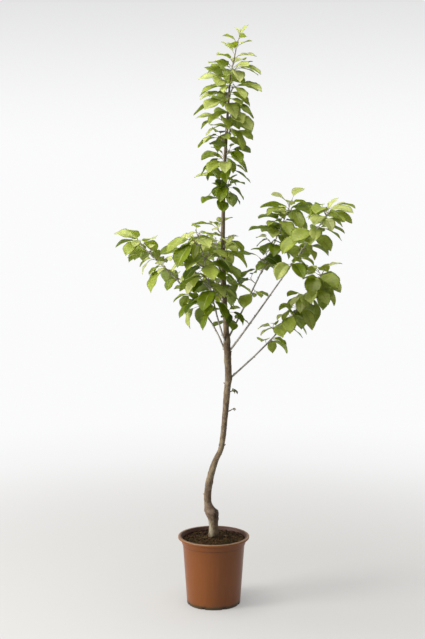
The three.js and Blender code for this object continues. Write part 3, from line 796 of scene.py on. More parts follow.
# Lengths and radii in millimetres, leans in degrees. A bud's radius at shares of its length comes first
BUD_PROFILE = ((0, 0.72), (0.2, 1.0), (0.5, 0.85), (0.8, 0.42), (1, 0.08))
BUDS = dict(
    bare_foot=16, bare_end=6, lean=38, out=0.75, length=4.6, radius=1.35, size=(0.75, 1.15),
    apart=(0.8, 1.2),
)
LIMB = dict(every=23, swell=0.09, width=3.2, collar=9)
PETIOLE = dict(radii=(1.25, 0.85, 0.72, 0.68, 0.66, 0.66, 0.72, 0.4), into_blade=3, bow=0.3, bowed=0.6)
GLAND = dict(below=2.4, aside=0.75, up=0.6, length=1.1, radius=0.62)


def add_bud(shape, foot, way, length, radius):
    """A pointed bud with its scales drawn into a spindle, in the piece's second finish."""
    way = Vector(way).normalized()
    line = [tuple(Vector(foot) + way * (length * share)) for share, _ in BUD_PROFILE]
    shape.add_tube(tube_rings(line, [radius * fullness for _, fullness in BUD_PROFILE], 7), 1)


def bud_way(way, turn, lean):
    """A direction that leans off a twig's own by some degrees, turned about it."""
    way = Vector(way).normalized()
    side = way.orthogonal().normalized()
    turn, lean = math.radians(turn), math.radians(lean)
    out = side * math.cos(turn) + way.cross(side) * math.sin(turn)
    return way * math.cos(lean) + out * math.sin(lean), out


def limb_radii(at, thick, thin, collar):
    """Taper of a limb, with a collar at its root and a slight swelling at every bud."""
    taper = thick + (thin - thick) * at / at[-1]
    swell = 1 + LIMB["swell"] * hump(at % LIMB["every"], LIMB["every"] / 2, LIMB["width"])
    return taper * swell * (1 + collar * np.exp(-at / LIMB["collar"]))


def bough_relief(rings):
    fine = np.clip(grain(rings, (0.3, 0.3, 0.5)) - 0.3, 0, 1) * 0.5
    return grain(rings, 0.08) * 0.3 + fine


def add_limb(shape, line, radii, sides, step, collar=0.0, relief=None):
    points, at = resample(line, step)
    shape.add_tube(tube_rings(points, limb_radii(at, *radii, collar), sides, relief))


def add_buds_along(shape, line, radii, every, seed, start):
    """Buds in a spiral along a limb, at its leaf scars."""
    length = np.linalg.norm(np.diff(np.asarray(line), axis=0), axis=1).sum()
    dice = Dice(seed)
    distance = start
    turn = 0
    while distance < length - BUDS["bare_end"]:
        share = distance / length
        way, out = bud_way(heading_on(line, share), turn, BUDS["lean"])
        foot = Vector(point_on(line, share)) + out * between(radii, share) * BUDS["out"]
        size = dice.between(*BUDS["size"])
        add_bud(shape, foot, way, BUDS["length"] * size, BUDS["radius"] * size)
        distance += every * dice.between(*BUDS["apart"])
        turn += GOLDEN_TURN


def make_bough(bough, bark, bud_scales):
    plan, points = bough["plan"], bough["points"]
    radii = (plan["thick"], plan["thin"])
    shape = Shape()
    add_limb(shape, points, radii, sides=20, step=2.6, collar=0.75, relief=bough_relief)
    start = BUDS["bare_foot"] + trunk_at(plan["height"])[1]
    add_buds_along(shape, points, radii, LIMB["every"], plan["seed"], start)
    add_bud(shape, points[-1], heading_on(points, 1), length=6, radius=1.7)
    node = f"bough_{plan['name']}"
    shape.piece(f"bark_{node}", "bough_bark", [bark, bud_scales], node)


def make_twigs(name, masses, bark, bud_scales):
    """Spurs, side shoots and twiglets of several masses, with the buds at their tips."""
    shape = Shape()
    for number, mass in enumerate(masses):
        for k, (line, kind) in enumerate(mass["twigs"]):
            thick, thin = TWIG[kind]
            add_limb(shape, line, (thick, thin), sides=10, step=2.4, collar=0.1, relief=bough_relief)
            seed = 40 * number + k
            dice = Dice(seed + 5)
            way = heading_on(line, 1)
            add_bud(shape, line[-1], way, length=5.2, radius=thin * 0.9)
            for j in range(1 if kind == "twiglet" else 2):
                lean, out = bud_way(way, turn=j * 150 + dice.between(0, 90), lean=42)
                foot = Vector(point_on(line, 0.86)) + out * thin * 0.6
                add_bud(shape, foot, lean, length=4.2, radius=thin * 0.55)
            if kind in ("shoot", "leader"):
                add_buds_along(shape, line, (thick, thin), every=16, seed=seed, start=12)
    shape.piece(name, "bough_bark", [bark, bud_scales])


def trunk_side(height, azimuth):
    """A point just under the trunk's bark."""
    centre, radius = trunk_at(height)
    return along(centre, heading(azimuth, 0), radius * 0.8)


def dried_line(spur):
    foot = trunk_side(spur["height"], spur["azimuth"])
    return limb_line(foot, spur["azimuth"], swing=10, rise=(10, 25, 45), length=spur["length"], step=3)


def make_bud_stubs(bark, bud_scales):
    """Dormant buds and short stubs on the bare trunk."""
    shape = Shape()
    for height, azimuth, length in BUD_STUBS:
        foot = trunk_side(height, azimuth)
        way = heading(azimuth, 40)
        add_limb(shape, [foot, along(foot, way, length * 0.6)], (2.6, 2.0), sides=10, step=1)
        add_bud(shape, along(foot, way, length * 0.45), way, length * 0.8, radius=1.9)
    for spur in DRIED_SPURS:
        add_limb(shape, dried_line(spur), (2.2, 1.3), sides=10, step=1.5)
    shape.piece("bud_stubs", "trunk_bark", [bark, bud_scales])


# Leaves


def blade_layout():
    """Rows of a leaf, faces of its two sheets, which share the margin, their parts and their chart."""
    rows = 2 * BLADE["teeth"]
    wide = len(COLUMNS)
    share = np.repeat((np.arange(rows) / rows)[:, None], wide, axis=1)
    side = np.repeat((np.array(COLUMNS)[None, :] + 1) / 2, rows, axis=0)
    upper_chart = np.stack([side, share], axis=2)
    lower_chart = upper_chart[1:, 1:-1].reshape(-1, 2)
    chart = np.concatenate([upper_chart.reshape(-1, 2), lower_chart, [(0.5, 1)]])
    upper = np.arange(rows * wide).reshape(rows, wide)
    lower = upper.copy()
    inner = (rows - 1) * (wide - 2)
    lower[1:, 1:-1] = rows * wide + np.arange(inner).reshape(rows - 1, wide - 2)
    tip = rows * wide + inner
    faces, parts = [], []
    for row, k in itertools.product(range(rows - 1), range(wide - 1)):
        part = int(k == wide // 2 - 1)
        faces.append((upper[row, k], upper[row, k + 1], upper[row + 1, k + 1], upper[row + 1, k]))
        faces.append((lower[row, k + 1], lower[row, k], lower[row + 1, k], lower[row + 1, k + 1]))
        parts.extend([part, part + 2])
    for k in range(wide - 1):
        faces.append((upper[-1, k], upper[-1, k + 1], tip))
        faces.append((lower[-1, k + 1], lower[-1, k], tip))
        parts.extend([0, 2])
    return rows, faces, parts, chart


ROWS, BLADE_FACES, BLADE_PARTS, BLADE_CHART = blade_layout()


def blade_width(leaf, share):
    """Half width of a toothed leaf from its neck to its tip: widest past the middle."""
    stations, widths = zip(*OUTLINE)
    return np.maximum(leaf["width"] / 2 * np.interp(share, stations, widths), 0.7)


def blade_sheet(leaf, dice):
    """Points of a leaf: upper sheet, the inner points of the lower one, and the tip."""
    sides = np.array(COLUMNS)[None, :]
    rows = np.arange(ROWS)[:, None]
    share = np.repeat(0.012 + 0.975 * rows / ROWS, len(COLUMNS), axis=1)
    margin = np.abs(sides) > 0.99
    notch = np.where(rows % 2 == 1, 1.0, 1 - 2 * BLADE["tooth"])
    notch[:3] = 1 - BLADE["tooth"]
    spread = sides * blade_width(leaf, share[:, :1]) * np.where(margin, notch, 1.0)
    forward = np.where(margin & (rows % 2 == 1), 0.35 / ROWS, 0)
    twist = math.radians(dice.sway(BLADE["twist"]))
    middle, across, raised = blade_frame(leaf, share + forward, leaf["roll"] + twist * (share - 0.3))
    veins = BLADE["veins"] * (share - BLADE["lean"] * np.abs(sides))
    quilt = BLADE["quilt"] * (0.5 - 0.5 * np.cos(2 * math.pi * veins)) * np.sin(math.pi * np.abs(sides))
    phase = dice.between(0, 6.3)
    wave = BLADE["wave"] * leaf["length"] / 80 * np.sin(share * dice.between(9, 15) + phase + sides * 1.3)
    lift = np.abs(spread) * math.sin(leaf["fold"]) + quilt + wave * sides**2 * smooth(0, 0.2, share)
    upper = middle + across * (spread * math.cos(leaf["fold"]))[..., None] + raised * lift[..., None]
    depth = BLADE["thickness"] * np.where(np.abs(sides) < 0.1, 2.2, 1.0)[..., None]
    lower = (upper - raised * depth)[1:, 1:-1]
    tip = blade_frame(leaf, np.ones(1), np.zeros(1))[0]
    return np.concatenate([upper.reshape(-1, 3), lower.reshape(-1, 3), tip])


# From the youngest leaves to the deepest. The palest greens are partly painted light, and the deepest partly
# painted shade
LEAF_GREENS = dict(
    young=(0.66, 0.69, 0.29), spring=(0.55, 0.59, 0.19), fresh=(0.39, 0.447, 0.072),
    full=(0.205, 0.272, 0.01), deep=(0.088, 0.138, 0.003),
)
PALE_LEAF = dict(length=62, span=60)


def tone_of(leaf, dice, shade):
    """Number of a leaf's green, from the youngest to the deepest, by its age and by its mass's painted light
    and shade. A large leaf is never pale.
    """
    value = leaf["age"] + shade + dice.sway(0.3)
    value = max(value, (leaf["length"] - PALE_LEAF["length"]) / PALE_LEAF["span"])
    return int(np.clip(value * len(LEAF_GREENS), 0, len(LEAF_GREENS) - 1))


def leaves_of(masses):
    return [leaf for mass in masses for leaf in mass["leaves"]]


def make_leaves(name, masses, finishes, shade, seed):
    shape = Shape()
    dice = Dice(seed)
    rib, under = len(LEAF_GREENS), len(LEAF_GREENS) + 1
    for leaf in leaves_of(masses):
        parts = (tone_of(leaf, dice, shade), rib, under, rib)
        shape.add(blade_sheet(leaf, dice), BLADE_FACES, [parts[part] for part in BLADE_PARTS], BLADE_CHART)
    nodes = [f"foliage_{mass['name']}" for mass in masses]
    shape.piece(f"leaves_{name}", "leaves", finishes, *nodes)


def add_petiole(shape, leaf):
    """A stalk that bows up from its foot into the midrib, with two glands under the blade."""
    foot, neck = Vector(leaf["foot"]), Vector(leaf["neck"])
    outward = Vector((math.cos(leaf["azimuth"]), math.sin(leaf["azimuth"]), 0))
    blade_way = outward * math.cos(leaf["pitch"]) + Vector((0, 0, math.sin(leaf["pitch"])))
    end = neck + blade_way * PETIOLE["into_blade"]
    bow = neck - blade_way * (neck - foot).length * PETIOLE["bow"]
    line = []
    for i in range(len(PETIOLE["radii"])):
        t = i / (len(PETIOLE["radii"]) - 1)
        bowed = foot.lerp(bow, t).lerp(bow.lerp(end, t), t)
        line.append(tuple(foot.lerp(end, t).lerp(bowed, PETIOLE["bowed"])))
    shape.add_tube(tube_rings(line, PETIOLE["radii"], 7))
    side = outward.cross(Vector((0, 0, 1)))
    for hand in (-1, 1):
        spot = neck - (neck - foot).normalized() * GLAND["below"] + side * hand * GLAND["aside"]
        way = side * hand + Vector((0, 0, GLAND["up"]))
        add_bud(shape, spot, way, GLAND["length"], GLAND["radius"])


def make_petioles(name, masses, stalk, gland):
    shape = Shape()
    for leaf in leaves_of(masses):
        add_petiole(shape, leaf)
    shape.piece(name, "leaves", [stalk, gland])


def make_dried_leaves(dry):
    """Shrivelled small leaves on two weak spurs of the bare trunk."""
    shape = Shape()
    dice = Dice(31)
    for spur in DRIED_SPURS:
        line = dried_line(spur)
        for k in range(spur["leaves"]):
            foot = point_on(line, 1 - 0.05 * k)
            pitch = math.radians(dice.between(-10, 50))
            azimuth = math.radians(spur["azimuth"] + dice.sway(85))
            neck = along(foot, heading(math.degrees(azimuth), math.degrees(pitch)), 3)
            leaf = dict(
                neck=neck, azimuth=azimuth, pitch=pitch,
                pitch_end=pitch - math.radians(dice.between(60, 120)),
                roll=math.radians(dice.sway(60)), fold=math.radians(dice.between(25, 55)),
                length=spur["leaf"] * dice.between(0.7, 1.1), width=spur["leaf"] * 0.5,
            )
            shape.add(blade_sheet(leaf, dice), BLADE_FACES)
            shape.add_tube(tube_rings([foot, mix(foot, neck, 0.5), neck], [0.7, 0.6, 0.5], 7))
    shape.piece("dried_leaves", "leaves", [dry])


# Pot and compost


def rounded(corners, steps=5):
    """A profile with each corner rounded by its own radius: (radius, height, rounding)."""
    spots = [Vector(corner[:2]) for corner in corners]
    profile = []
    for i, spot in enumerate(spots):
        size = corners[i][2]
        if size == 0:
            profile.append(tuple(spot))
            continue
        before = (spots[i - 1] - spot).normalized()
        after = (spots[i + 1] - spot).normalized()
        half = before.angle(after) / 2
        reach = size / math.tan(half)
        centre = spot + (before + after).normalized() * (size / math.sin(half))
        start, end = spot + before * reach - centre, spot + after * reach - centre
        sweep = start.angle(end)
        for k in range(steps + 1):
            t = k / steps
            bow = (start * math.sin((1 - t) * sweep) + end * math.sin(t * sweep)) / math.sin(sweep)
            profile.append(tuple(centre + bow))
    return profile


def lathe(profile, segments):
    """A closed body turned about Z, from a profile that starts and ends on the axis."""
    inner = np.array(profile[1:-1])
    rings = rim_ways(segments) * inner[:, :1, None]
    rings[..., 2] = inner[:, 1:]
    points, faces = grid_tube(rings)
    points[-2:] = [(0, 0, profile[0][1]), (0, 0, profile[-1][1])]
    return points, faces


def pot_inside(height):
    if height >= POT["band_foot"]:
        return POT["band"] - POT["wall"]
    return between((POT["foot"], POT["shoulder"]), height / POT["band_foot"]) - POT["wall"]


def pot_profile():
    lip_foot = POT["height"] - POT["lip_height"]
    band_top = lip_foot - POT["lip_rise"]
    inside = POT["band"] - POT["wall"]
    return rounded([
        (0, 0, 0),
        (POT["foot"], 0, 2.2),
        (POT["shoulder"], POT["band_foot"], 0.8),
        (POT["band"], POT["band_foot"] + POT["band_step"], 0.9),
        (POT["band"] + POT["band_flare"], band_top, 1.2),
        (POT["rim"], lip_foot, 1.6),
        (POT["rim"], POT["height"], 2.2),
        (POT["rim"] - POT["lip_width"], POT["height"], 1.8),
        (inside, band_top, 2.0),
        (inside, POT["band_foot"] + 1, 0.8),
        (POT["shoulder"] - POT["wall"], POT["band_foot"] - 1, 0.8),
        (pot_inside(POT["floor"]), POT["floor"], 1.5),
        (0, POT["floor"], 0),
    ])


def drain_cutter():
    """Arched slots through the edge of the pot's floor."""
    shape = Shape()
    for k in range(POT["drains"]):
        a = 2 * math.pi * (k + 0.5) / POT["drains"]
        line = [np.array([math.cos(a), math.sin(a), 0]) * away for away in POT["drain_reach"]]
        shape.add_tube(tube_rings(line, [POT["drain_radius"]] * len(line), 28))
    return show("drains", shape.mesh("drains"))


def make_pot(plastic):
    shape = Shape()
    shape.add(*lathe(pot_profile(), POT["segments"]))
    pot = shape.piece("nursery_pot", "pot", [plastic], "pot")
    cutter = drain_cutter()
    cut = pot.modifiers.new("drains", "BOOLEAN")
    cut.operation = "DIFFERENCE"
    cut.solver = "EXACT"
    cut.object = cutter
    bpy.context.view_layer.update()
    shown = pot.evaluated_get(bpy.context.evaluated_depsgraph_get())
    pot_mesh = bpy.data.meshes.new_from_object(shown)
    pot.modifiers.clear()
    pot.data = pot_mesh
    pot.data.set_sharp_from_angle(angle=math.radians(POT["sharp"]))
    bpy.data.objects.remove(cutter)


COMPOST_RADIUS = pot_inside(COMPOST["edge"]) - COMPOST["gap"]


def compost_height(x, y):
    """Height of the compost: its mound, its bank to the right, a ring heaped round the trunk, its lumps."""
    away = math.hypot(x, y)
    share = np.clip((COMPOST_RADIUS - away) / (COMPOST_RADIUS - COMPOST["crown"]), 0, 1)
    mound = COMPOST["edge"] + (COMPOST["top"] - COMPOST["edge"]) * np.sin(share * math.pi / 2)
    heaped = COMPOST["heap"] * hump(away, COMPOST["heap_from_axis"], COMPOST["heap_width"])
    lumps = sum(size * noise.noise(Vector((x, y, 0)) * scale) for size, scale in COMPOST["grains"])
    return float(mound + heaped) + COMPOST["bank"] * x / 100 + COMPOST["lumps"] * (lumps - 0.35)


def make_compost(earth):
    """The mound, with a skirt down the inside of the pot."""
    rim = rim_ways(COMPOST["segments"])
    rings = []
    for height in (POT["floor"] + COMPOST["gap"], POT["band_foot"] - 3):
        rings.append(rim * (pot_inside(height) - COMPOST["gap"]) + (0, 0, height))
    for k in range(COMPOST["rings"]):
        ring = rim * (COMPOST_RADIUS * (1 - k / COMPOST["rings"]))
        ring[:, 2] = [compost_height(x, y) for x, y, _ in ring]
        rings.append(ring)
    shape = Shape()
    shape.add_tube(np.array(rings))
    shape.piece("compost", "compost", [earth], "soil")


CRUMBS = dict(count=1250, seed=5, trunk=19, size=(0.8, 4.2), crumb=(1.0, 0.85, 0.7), chip=(2.6, 0.6, 0.4))
CRUMB_CORNERS = np.array([(1, 0, 0), (-1, 0, 0), (0, 1, 0), (0, -1, 0), (0, 0, 1), (0, 0, -1)], float)
CRUMB_FACES = [(0, 2, 4), (2, 1, 4), (1, 3, 4), (3, 0, 4), (2, 0, 5), (1, 2, 5), (3, 1, 5), (0, 3, 5)]


def make_crumbs(finishes):
    """Loose crumbs, and a bark chip for every seventh, sunk a little into the compost."""
    shape = Shape()
    dice = Dice(CRUMBS["seed"])
    for k in range(CRUMBS["count"]):
        radius = (COMPOST_RADIUS + COMPOST["gap"] - 4) * math.sqrt(dice.roll())
        angle = dice.between(0, 2 * math.pi)
        x, y = radius * math.cos(angle), radius * math.sin(angle)
        if radius < CRUMBS["trunk"]:
            continue
        size = CRUMBS["size"][0] + CRUMBS["size"][1] * dice.roll() ** 3
        chip = k % 7 == 0
        jitter = np.array([dice.between(0.65, 1.25) for _ in CRUMB_CORNERS])
        lean = 0.5 if chip else 3
        turn = Euler((dice.sway(lean), dice.sway(lean), dice.between(0, 6.3))).to_matrix()
        shaped = CRUMB_CORNERS * jitter[:, None] * CRUMBS["chip" if chip else "crumb"] * size
        points = shaped @ np.array(turn).T + (x, y, compost_height(x, y) + 0.25 * size)
        shape.add(points, CRUMB_FACES, 3 if chip else k % 3)
    shape.piece("compost_crumbs", "compost", finishes)


# Finishes


class Field:
    """A value that varies over a surface. Sums on it add Math nodes to its finish."""

    def __init__(self, finish, socket):
        self.finish = finish
        self.socket = socket

    def math(self, operation, *values, clamp=False):
        """A Math node on the given values, or on this one where none is given."""
        settings = {"operation": operation, "use_clamp": clamp}
        return self.finish.node("ShaderNodeMath", settings, dict(enumerate(values or [self])))

    def __add__(self, other):
        return self.math("ADD", self, other)

    def __sub__(self, other):
        return self.math("SUBTRACT", self, other)

    def __rsub__(self, other):
        return self.math("SUBTRACT", other, self)

    def __mul__(self, other):
        return self.math("MULTIPLY", self, other)

    __radd__ = __add__
    __rmul__ = __mul__

    def __abs__(self):
        return self.math("ABSOLUTE")

    def part(self):
        """What is left of a value over the whole number below it."""
        return self.math("FRACT")

    def clamped(self):
        return self.math("ADD", self, 0, clamp=True)


def socket_of(sockets, key):
    if isinstance(key, int):
        return sockets[key]
    return next(socket for socket in sockets if key in (socket.identifier, socket.name))


class Web:
    """Nodes of one finish, or of the backdrop, made from values and from each other."""

    def __init__(self, tree):
        self.tree = tree

    def feed(self, socket, value):
        if isinstance(value, Field):
            self.tree.links.new(value.socket, socket)
        elif isinstance(value, tuple) and len(value) == 3 and socket.type == "RGBA":
            socket.default_value = (*value, 1)
        else:
            socket.default_value = value

    def node(self, kind, settings=None, sockets=None, out=0):
        made = self.tree.nodes.new(kind)
        for key, value in (settings or {}).items():
            setattr(made, key, value)
        for key, value in (sockets or {}).items():
            self.feed(socket_of(made.inputs, key), value)
        return Field(self, socket_of(made.outputs, out))

    def vector(self, operation, *values, out="Vector"):
        return self.node("ShaderNodeVectorMath", {"operation": operation}, dict(enumerate(values)), out)

    def length(self, at):
        return self.vector("LENGTH", at, out="Value")

    def place(self, stretch=(1, 1, 1)):
        """Place on the piece in metres, stretched along each axis."""
        return self.vector("MULTIPLY", self.node("ShaderNodeTexCoord", out="Object"), stretch)

    def noise(self, scale, detail=3, rough=0.5):
        """Noise from 0 to 1, at one scale or with its own along each axis."""
        at, scale = (self.place(scale), 1) if isinstance(scale, tuple) else (self.place(), scale)
        sockets = {"Vector": at, "Scale": scale, "Detail": detail, "Roughness": rough}
        return self.node("ShaderNodeTexNoise", None, sockets, "Fac")

    def cells(self, scale):
        """Distance from the middle of the nearest of many scattered cells."""
        sockets = {"Vector": self.place(scale), "Scale": 1, "Randomness": 1}
        return self.node("ShaderNodeTexVoronoi", None, sockets, "Distance")

    def axis(self, at, name):
        return self.node("ShaderNodeSeparateXYZ", None, {0: at}, name)

    def step(self, value, low, high):
        """A soft step from 0 at low to 1 at high."""
        settings = {"interpolation_type": "SMOOTHSTEP"}
        sockets = {"Value": value, "From Min": low, "From Max": high}
        return self.node("ShaderNodeMapRange", settings, sockets)

    def blend(self, share, a, b):
        """Colour a where share is 0 and b where it is 1."""
        settings = {"data_type": "RGBA"}
        sockets = {"Factor_Float": share, "A_Color": a, "B_Color": b}
        return self.node("ShaderNodeMix", settings, sockets, "Result_Color")


class Finish(Web):
    """A procedural material: its nodes, its Principled shader, and the tint laid on coat by coat."""

    def __init__(self, name, **constants):
        self.material = bpy.data.materials.new(name)
        self.material.use_nodes = True
        super().__init__(self.material.node_tree)
        self.shader = self.tree.nodes["Principled BSDF"]
        self.tint = None
        for key, value in constants.items():
            self.feed(self.shader.inputs[key.replace("_", " ")], value)

    def base(self, share, a, b):
        self.tint = self.blend(share, a, b)

    def coat(self, share, colour):
        """Lays a colour over the tint, as much of it as share says."""
        self.tint = self.blend(share, self.tint, colour)

    def closed(self, rough, height, strength, distance):
        """The material, with its tint, its roughness and the bump of a height joined to the shader."""
        sockets = {"Height": height, "Strength": strength, "Distance": distance}
        self.feed(self.shader.inputs["Base Color"], self.tint)
        self.feed(self.shader.inputs["Roughness"], rough)
        self.feed(self.shader.inputs["Normal"], self.node("ShaderNodeBump", None, sockets, "Normal"))
        return self.material

    def mix_in(self, share, kind, colour):
        """Mixes a share of a second shader with the first on the way to the output."""
        first = Field(self, self.shader.outputs[0])
        second = self.node(kind, None, {"Color": colour})
        both = self.node("ShaderNodeMixShader", None, {0: share, 1: first, 2: second})
        self.feed(self.tree.nodes["Material Output"].inputs["Surface"], both)


def pot_plastic():
    """Semi-matte brown plastic, stained by the compost on the lip and at the foot, and darker towards the
    foot. Inside it is darkened by painted shade along with compost stain, the rim has a painted highlight
    mixed with wear, and the drain slots hold painted shadow.
    """
    finish = Finish("pot_plastic", Specular_IOR_Level=0.31)
    step = finish.step
    broad = finish.noise(9, 3)
    fine = finish.noise(90, 5, 0.6)
    streaks = finish.noise((70, 70, 4), 4, 0.6)
    at = finish.place()
    height = finish.axis(at, "Z")
    from_axis = finish.length(finish.place((1, 1, 0)))
    inner_edge = 0.1058 + (height - 0.2235).clamped() * 0.5
    # inside: the inner wall above the compost, darkened as painted shade along with compost stain
    inside = step(from_axis - inner_edge, 0.0004, -0.0004) * step(height, 0.2, 0.21)
    # slots: the drain slots' reveals and the inside by the floor, painted near black as shadow
    slots = step(from_axis, 0.0893, 0.088) * step(height, 0.0095, 0.008)
    lip = step(height, 0.2318, 0.2332) * (fine * 0.9 + 0.25)
    # rim: the outer top edge of the lip, given a pale painted highlight mottled like wear
    rim = step(from_axis, 0.1135, 0.1155) * step(height, 0.2304, 0.2316)
    inner_lip = step(from_axis, 0.1155, 0.1135) * step(height, 0.23, 0.2318)
    turn = height.math("ARCTAN2", finish.axis(at, "Y"), finish.axis(at, "X"))
    to_drain = (turn * POT["drains"]).math("COSINE") * -1
    wet = step(to_drain, 0.5, 0.9) * step(height, 0.017, 0.007)
    # Darkens the plastic towards the foot, where it meets the floor
    foot_darkening = step(height + fine * 0.01, 0.0185, 0.0125)
    dust = step(height, 0.03, 0.002) * step(fine, 0.42, 0.7) * 0.5
    splash = step(finish.noise(38, 2), 0.62, 0.72) * step(height, 0.12, 0.0) * 0.4
    finish.base(broad, (0.232, 0.07, 0.0125), (0.184, 0.053, 0.0095))
    finish.coat(step(streaks, 0.45, 0.8) * 0.5, (0.232, 0.073, 0.019))
    finish.coat(inner_lip * 0.75, (0.075, 0.036, 0.02))
    finish.coat(lip.clamped() * 0.6, (0.1, 0.07, 0.04))
    # painted highlight mixed with wear along the rim's outer edge
    finish.coat(rim * (fine * 0.7 + broad * 0.9 - 0.5).clamped(), (0.38, 0.28, 0.16))
    # painted shade with compost stain on the inner wall
    finish.coat(inside * (0.72 + broad * 0.3), (0.045, 0.022, 0.018))
    finish.coat((dust + splash).clamped(), (0.13, 0.08, 0.045))
    # darker towards the foot
    finish.coat(foot_darkening * 0.9, (0.055, 0.042, 0.015))
    finish.coat(wet * (0.5 + fine * 0.5), (0.035, 0.022, 0.011))
    # painted shadow in the drain slots
    finish.coat(slots * 0.9, (0.02, 0.011, 0.007))
    rough = 0.27 + fine * 0.14 + dust * 0.3 + inside * 0.25 + lip * 0.25
    return finish.closed(rough, fine * 0.5 + streaks * 0.5, strength=0.25, distance=0.0006)


def earth(name, dark, light, scale=1.0):
    finish = Finish(name, Specular_IOR_Level=0.12)
    clods = finish.noise(60 * scale, 5, 0.65)
    grit = finish.noise(420 * scale, 4, 0.7)
    lumps = clods * 0.6 + grit * 0.4
    finish.base(finish.step(lumps, 0.36, 0.66), dark, light)
    return finish.closed(0.82 + grit * 0.16, lumps, strength=0.7, distance=0.0016)


def trunk_bark():
    """Grey-brown bark, rough and darker on the rootstock, with pale cross-wise pores above it, painted light
    on the rootstock's left side and painted shade in the cracks on the graft's right side.
    """
    finish = Finish("trunk_bark", Specular_IOR_Level=0.35)
    step = finish.step
    patches = finish.noise(34, 5, 0.62)
    weather = finish.noise((55, 55, 16), 5, 0.6)
    fibres = finish.noise((420, 420, 60), 5, 0.7)
    pale = finish.noise((42, 42, 22), 3, 0.55)
    at = finish.place()
    right, height = finish.axis(at, "X"), finish.axis(at, "Z")
    stock = step(height, 0.34, 0.29)
    graft = step(height, 0.286, 0.3) * step(height, 0.352, 0.33)
    # left: the left side of the rootstock, which gets a pale patch of painted light
    left = step(right, 0.004, -0.009) * step(height, 0.3, 0.28)
    # The cracks of the callus on the graft's shaded right side, painted near black as shade
    crevice_shade = step(right, -0.004, 0.005) * step(height, 0.29, 0.302) * step(height, 0.35, 0.338)
    chosen = step(finish.noise(60, 2), 0.46, 0.6)
    pores = step(finish.cells((95, 95, 420)), 0.34, 0.16) * chosen * (1 - stock)
    finish.base(step(patches, 0.38, 0.62), (0.145, 0.098, 0.056), (0.31, 0.238, 0.14))
    finish.coat(step(weather, 0.48, 0.66) * 0.75, (0.11, 0.07, 0.042))
    finish.coat(step(weather, 0.44, 0.3) * 0.65, (0.38, 0.33, 0.23))
    finish.coat(step(height, 0.9, 1.4) * 0.6, (0.2, 0.16, 0.11))
    finish.coat(step(fibres, 0.44, 0.6) * 0.4, (0.1, 0.07, 0.045))
    finish.coat(step(fibres, 0.42, 0.3) * 0.4, (0.42, 0.35, 0.24))
    finish.coat(graft * step(patches, 0.36, 0.6) * 0.7, (0.19, 0.115, 0.095))
    finish.coat(stock * step(patches, 0.5, 0.66) * 0.6, (0.11, 0.088, 0.042))
    # painted light: a pale patch on the rootstock's left side
    finish.coat(left * step(pale, 0.5, 0.62) * 0.75, (0.44, 0.39, 0.28))
    # painted shade in the callus's cracks on the graft's right side
    finish.coat(crevice_shade * step(finish.noise(210, 3), 0.36, 0.5) * 0.85, (0.034, 0.02, 0.015))
    finish.coat(step(height + patches * 0.02, 0.262, 0.24) * 0.7, (0.06, 0.042, 0.02))
    finish.coat(pores * 0.7, (0.34, 0.27, 0.19))
    relief = fibres * 0.4 + patches * 0.4 + pores * 0.5
    return finish.closed(0.66 + fibres * 0.2, relief, strength=0.7, distance=0.0014)


def bough_bark():
    """Smooth grey-brown young bark with small pale pores."""
    finish = Finish("bough_bark", Specular_IOR_Level=0.4)
    patches = finish.noise(55, 4, 0.6)
    fine = finish.noise(260, 4, 0.6)
    pores = finish.step(finish.cells((170, 170, 170)), 0.2, 0.1)
    finish.base(finish.step(patches, 0.38, 0.62), (0.3, 0.278, 0.232), (0.53, 0.5, 0.43))
    finish.coat(pores * 0.6, (0.56, 0.52, 0.44))
    return finish.closed(0.5 + fine * 0.25, fine * 0.5 + pores * 0.5, strength=0.4, distance=0.0005)


def plain_noise(name, dark, light, scale, rough, bump=0.0004):
    """A small part's finish: two near tones mottled together."""
    finish = Finish(name, Specular_IOR_Level=0.4)
    mottle = finish.noise(scale, 4, 0.6)
    finish.base(finish.step(mottle, 0.35, 0.65), dark, light)
    return finish.closed(rough + mottle * 0.15, mottle, strength=0.4, distance=bump)


def tinted(colour, *shares):
    return tuple(min(1, value * share) for value, share in zip(colour, itertools.cycle(shares)))


def leaf_green(name, colour, through, rough=0.3, share=0.44, veined=0.5):
    """Leaf skin: a plain green with a faint mottle and paler side veins, which lets light through."""
    finish = Finish(f"leaf_{name}", Specular_IOR_Level=0.4)
    mottle = finish.noise(70, 3, 0.55)
    fine = finish.noise(650, 3, 0.6)
    at = finish.node("ShaderNodeUVMap", {"uv_map": "blade"}, None, "UV")
    side = abs(finish.axis(at, "X") * 2 - 1)
    lanes = (finish.axis(at, "Y") - side * BLADE["lean"]) * BLADE["veins"]
    off_vein = abs((lanes + 0.5).part() - 0.5)
    vein = finish.step(off_vein, 0.09, 0.03) * finish.step(side, 0.97, 0.6) * veined
    finish.base(finish.step(mottle, 0.3, 0.7), tinted(colour, 0.8), tinted(colour, 1.16))
    finish.coat(vein, tinted(colour, 1.7))
    finish.mix_in(share, "ShaderNodeBsdfTranslucent", through)
    relief = fine * 0.35 + mottle * 0.2 + off_vein * 1.4
    return finish.closed(rough + fine * 0.14, relief, strength=0.35, distance=0.0005)


def leaf_finishes():
    """The greens, then the midrib and the underside."""
    greens = [leaf_green(name, tone, tinted(tone, 1.6, 1.6, 0.8)) for name, tone in LEAF_GREENS.items()]
    rib = leaf_green("rib", (0.42, 0.46, 0.14), (0.6, 0.62, 0.12), rough=0.5, share=0.3, veined=0)
    under = leaf_green("under", (0.31, 0.38, 0.1), (0.5, 0.6, 0.06), rough=0.62)
    return [*greens, rib, under]


# Pieces

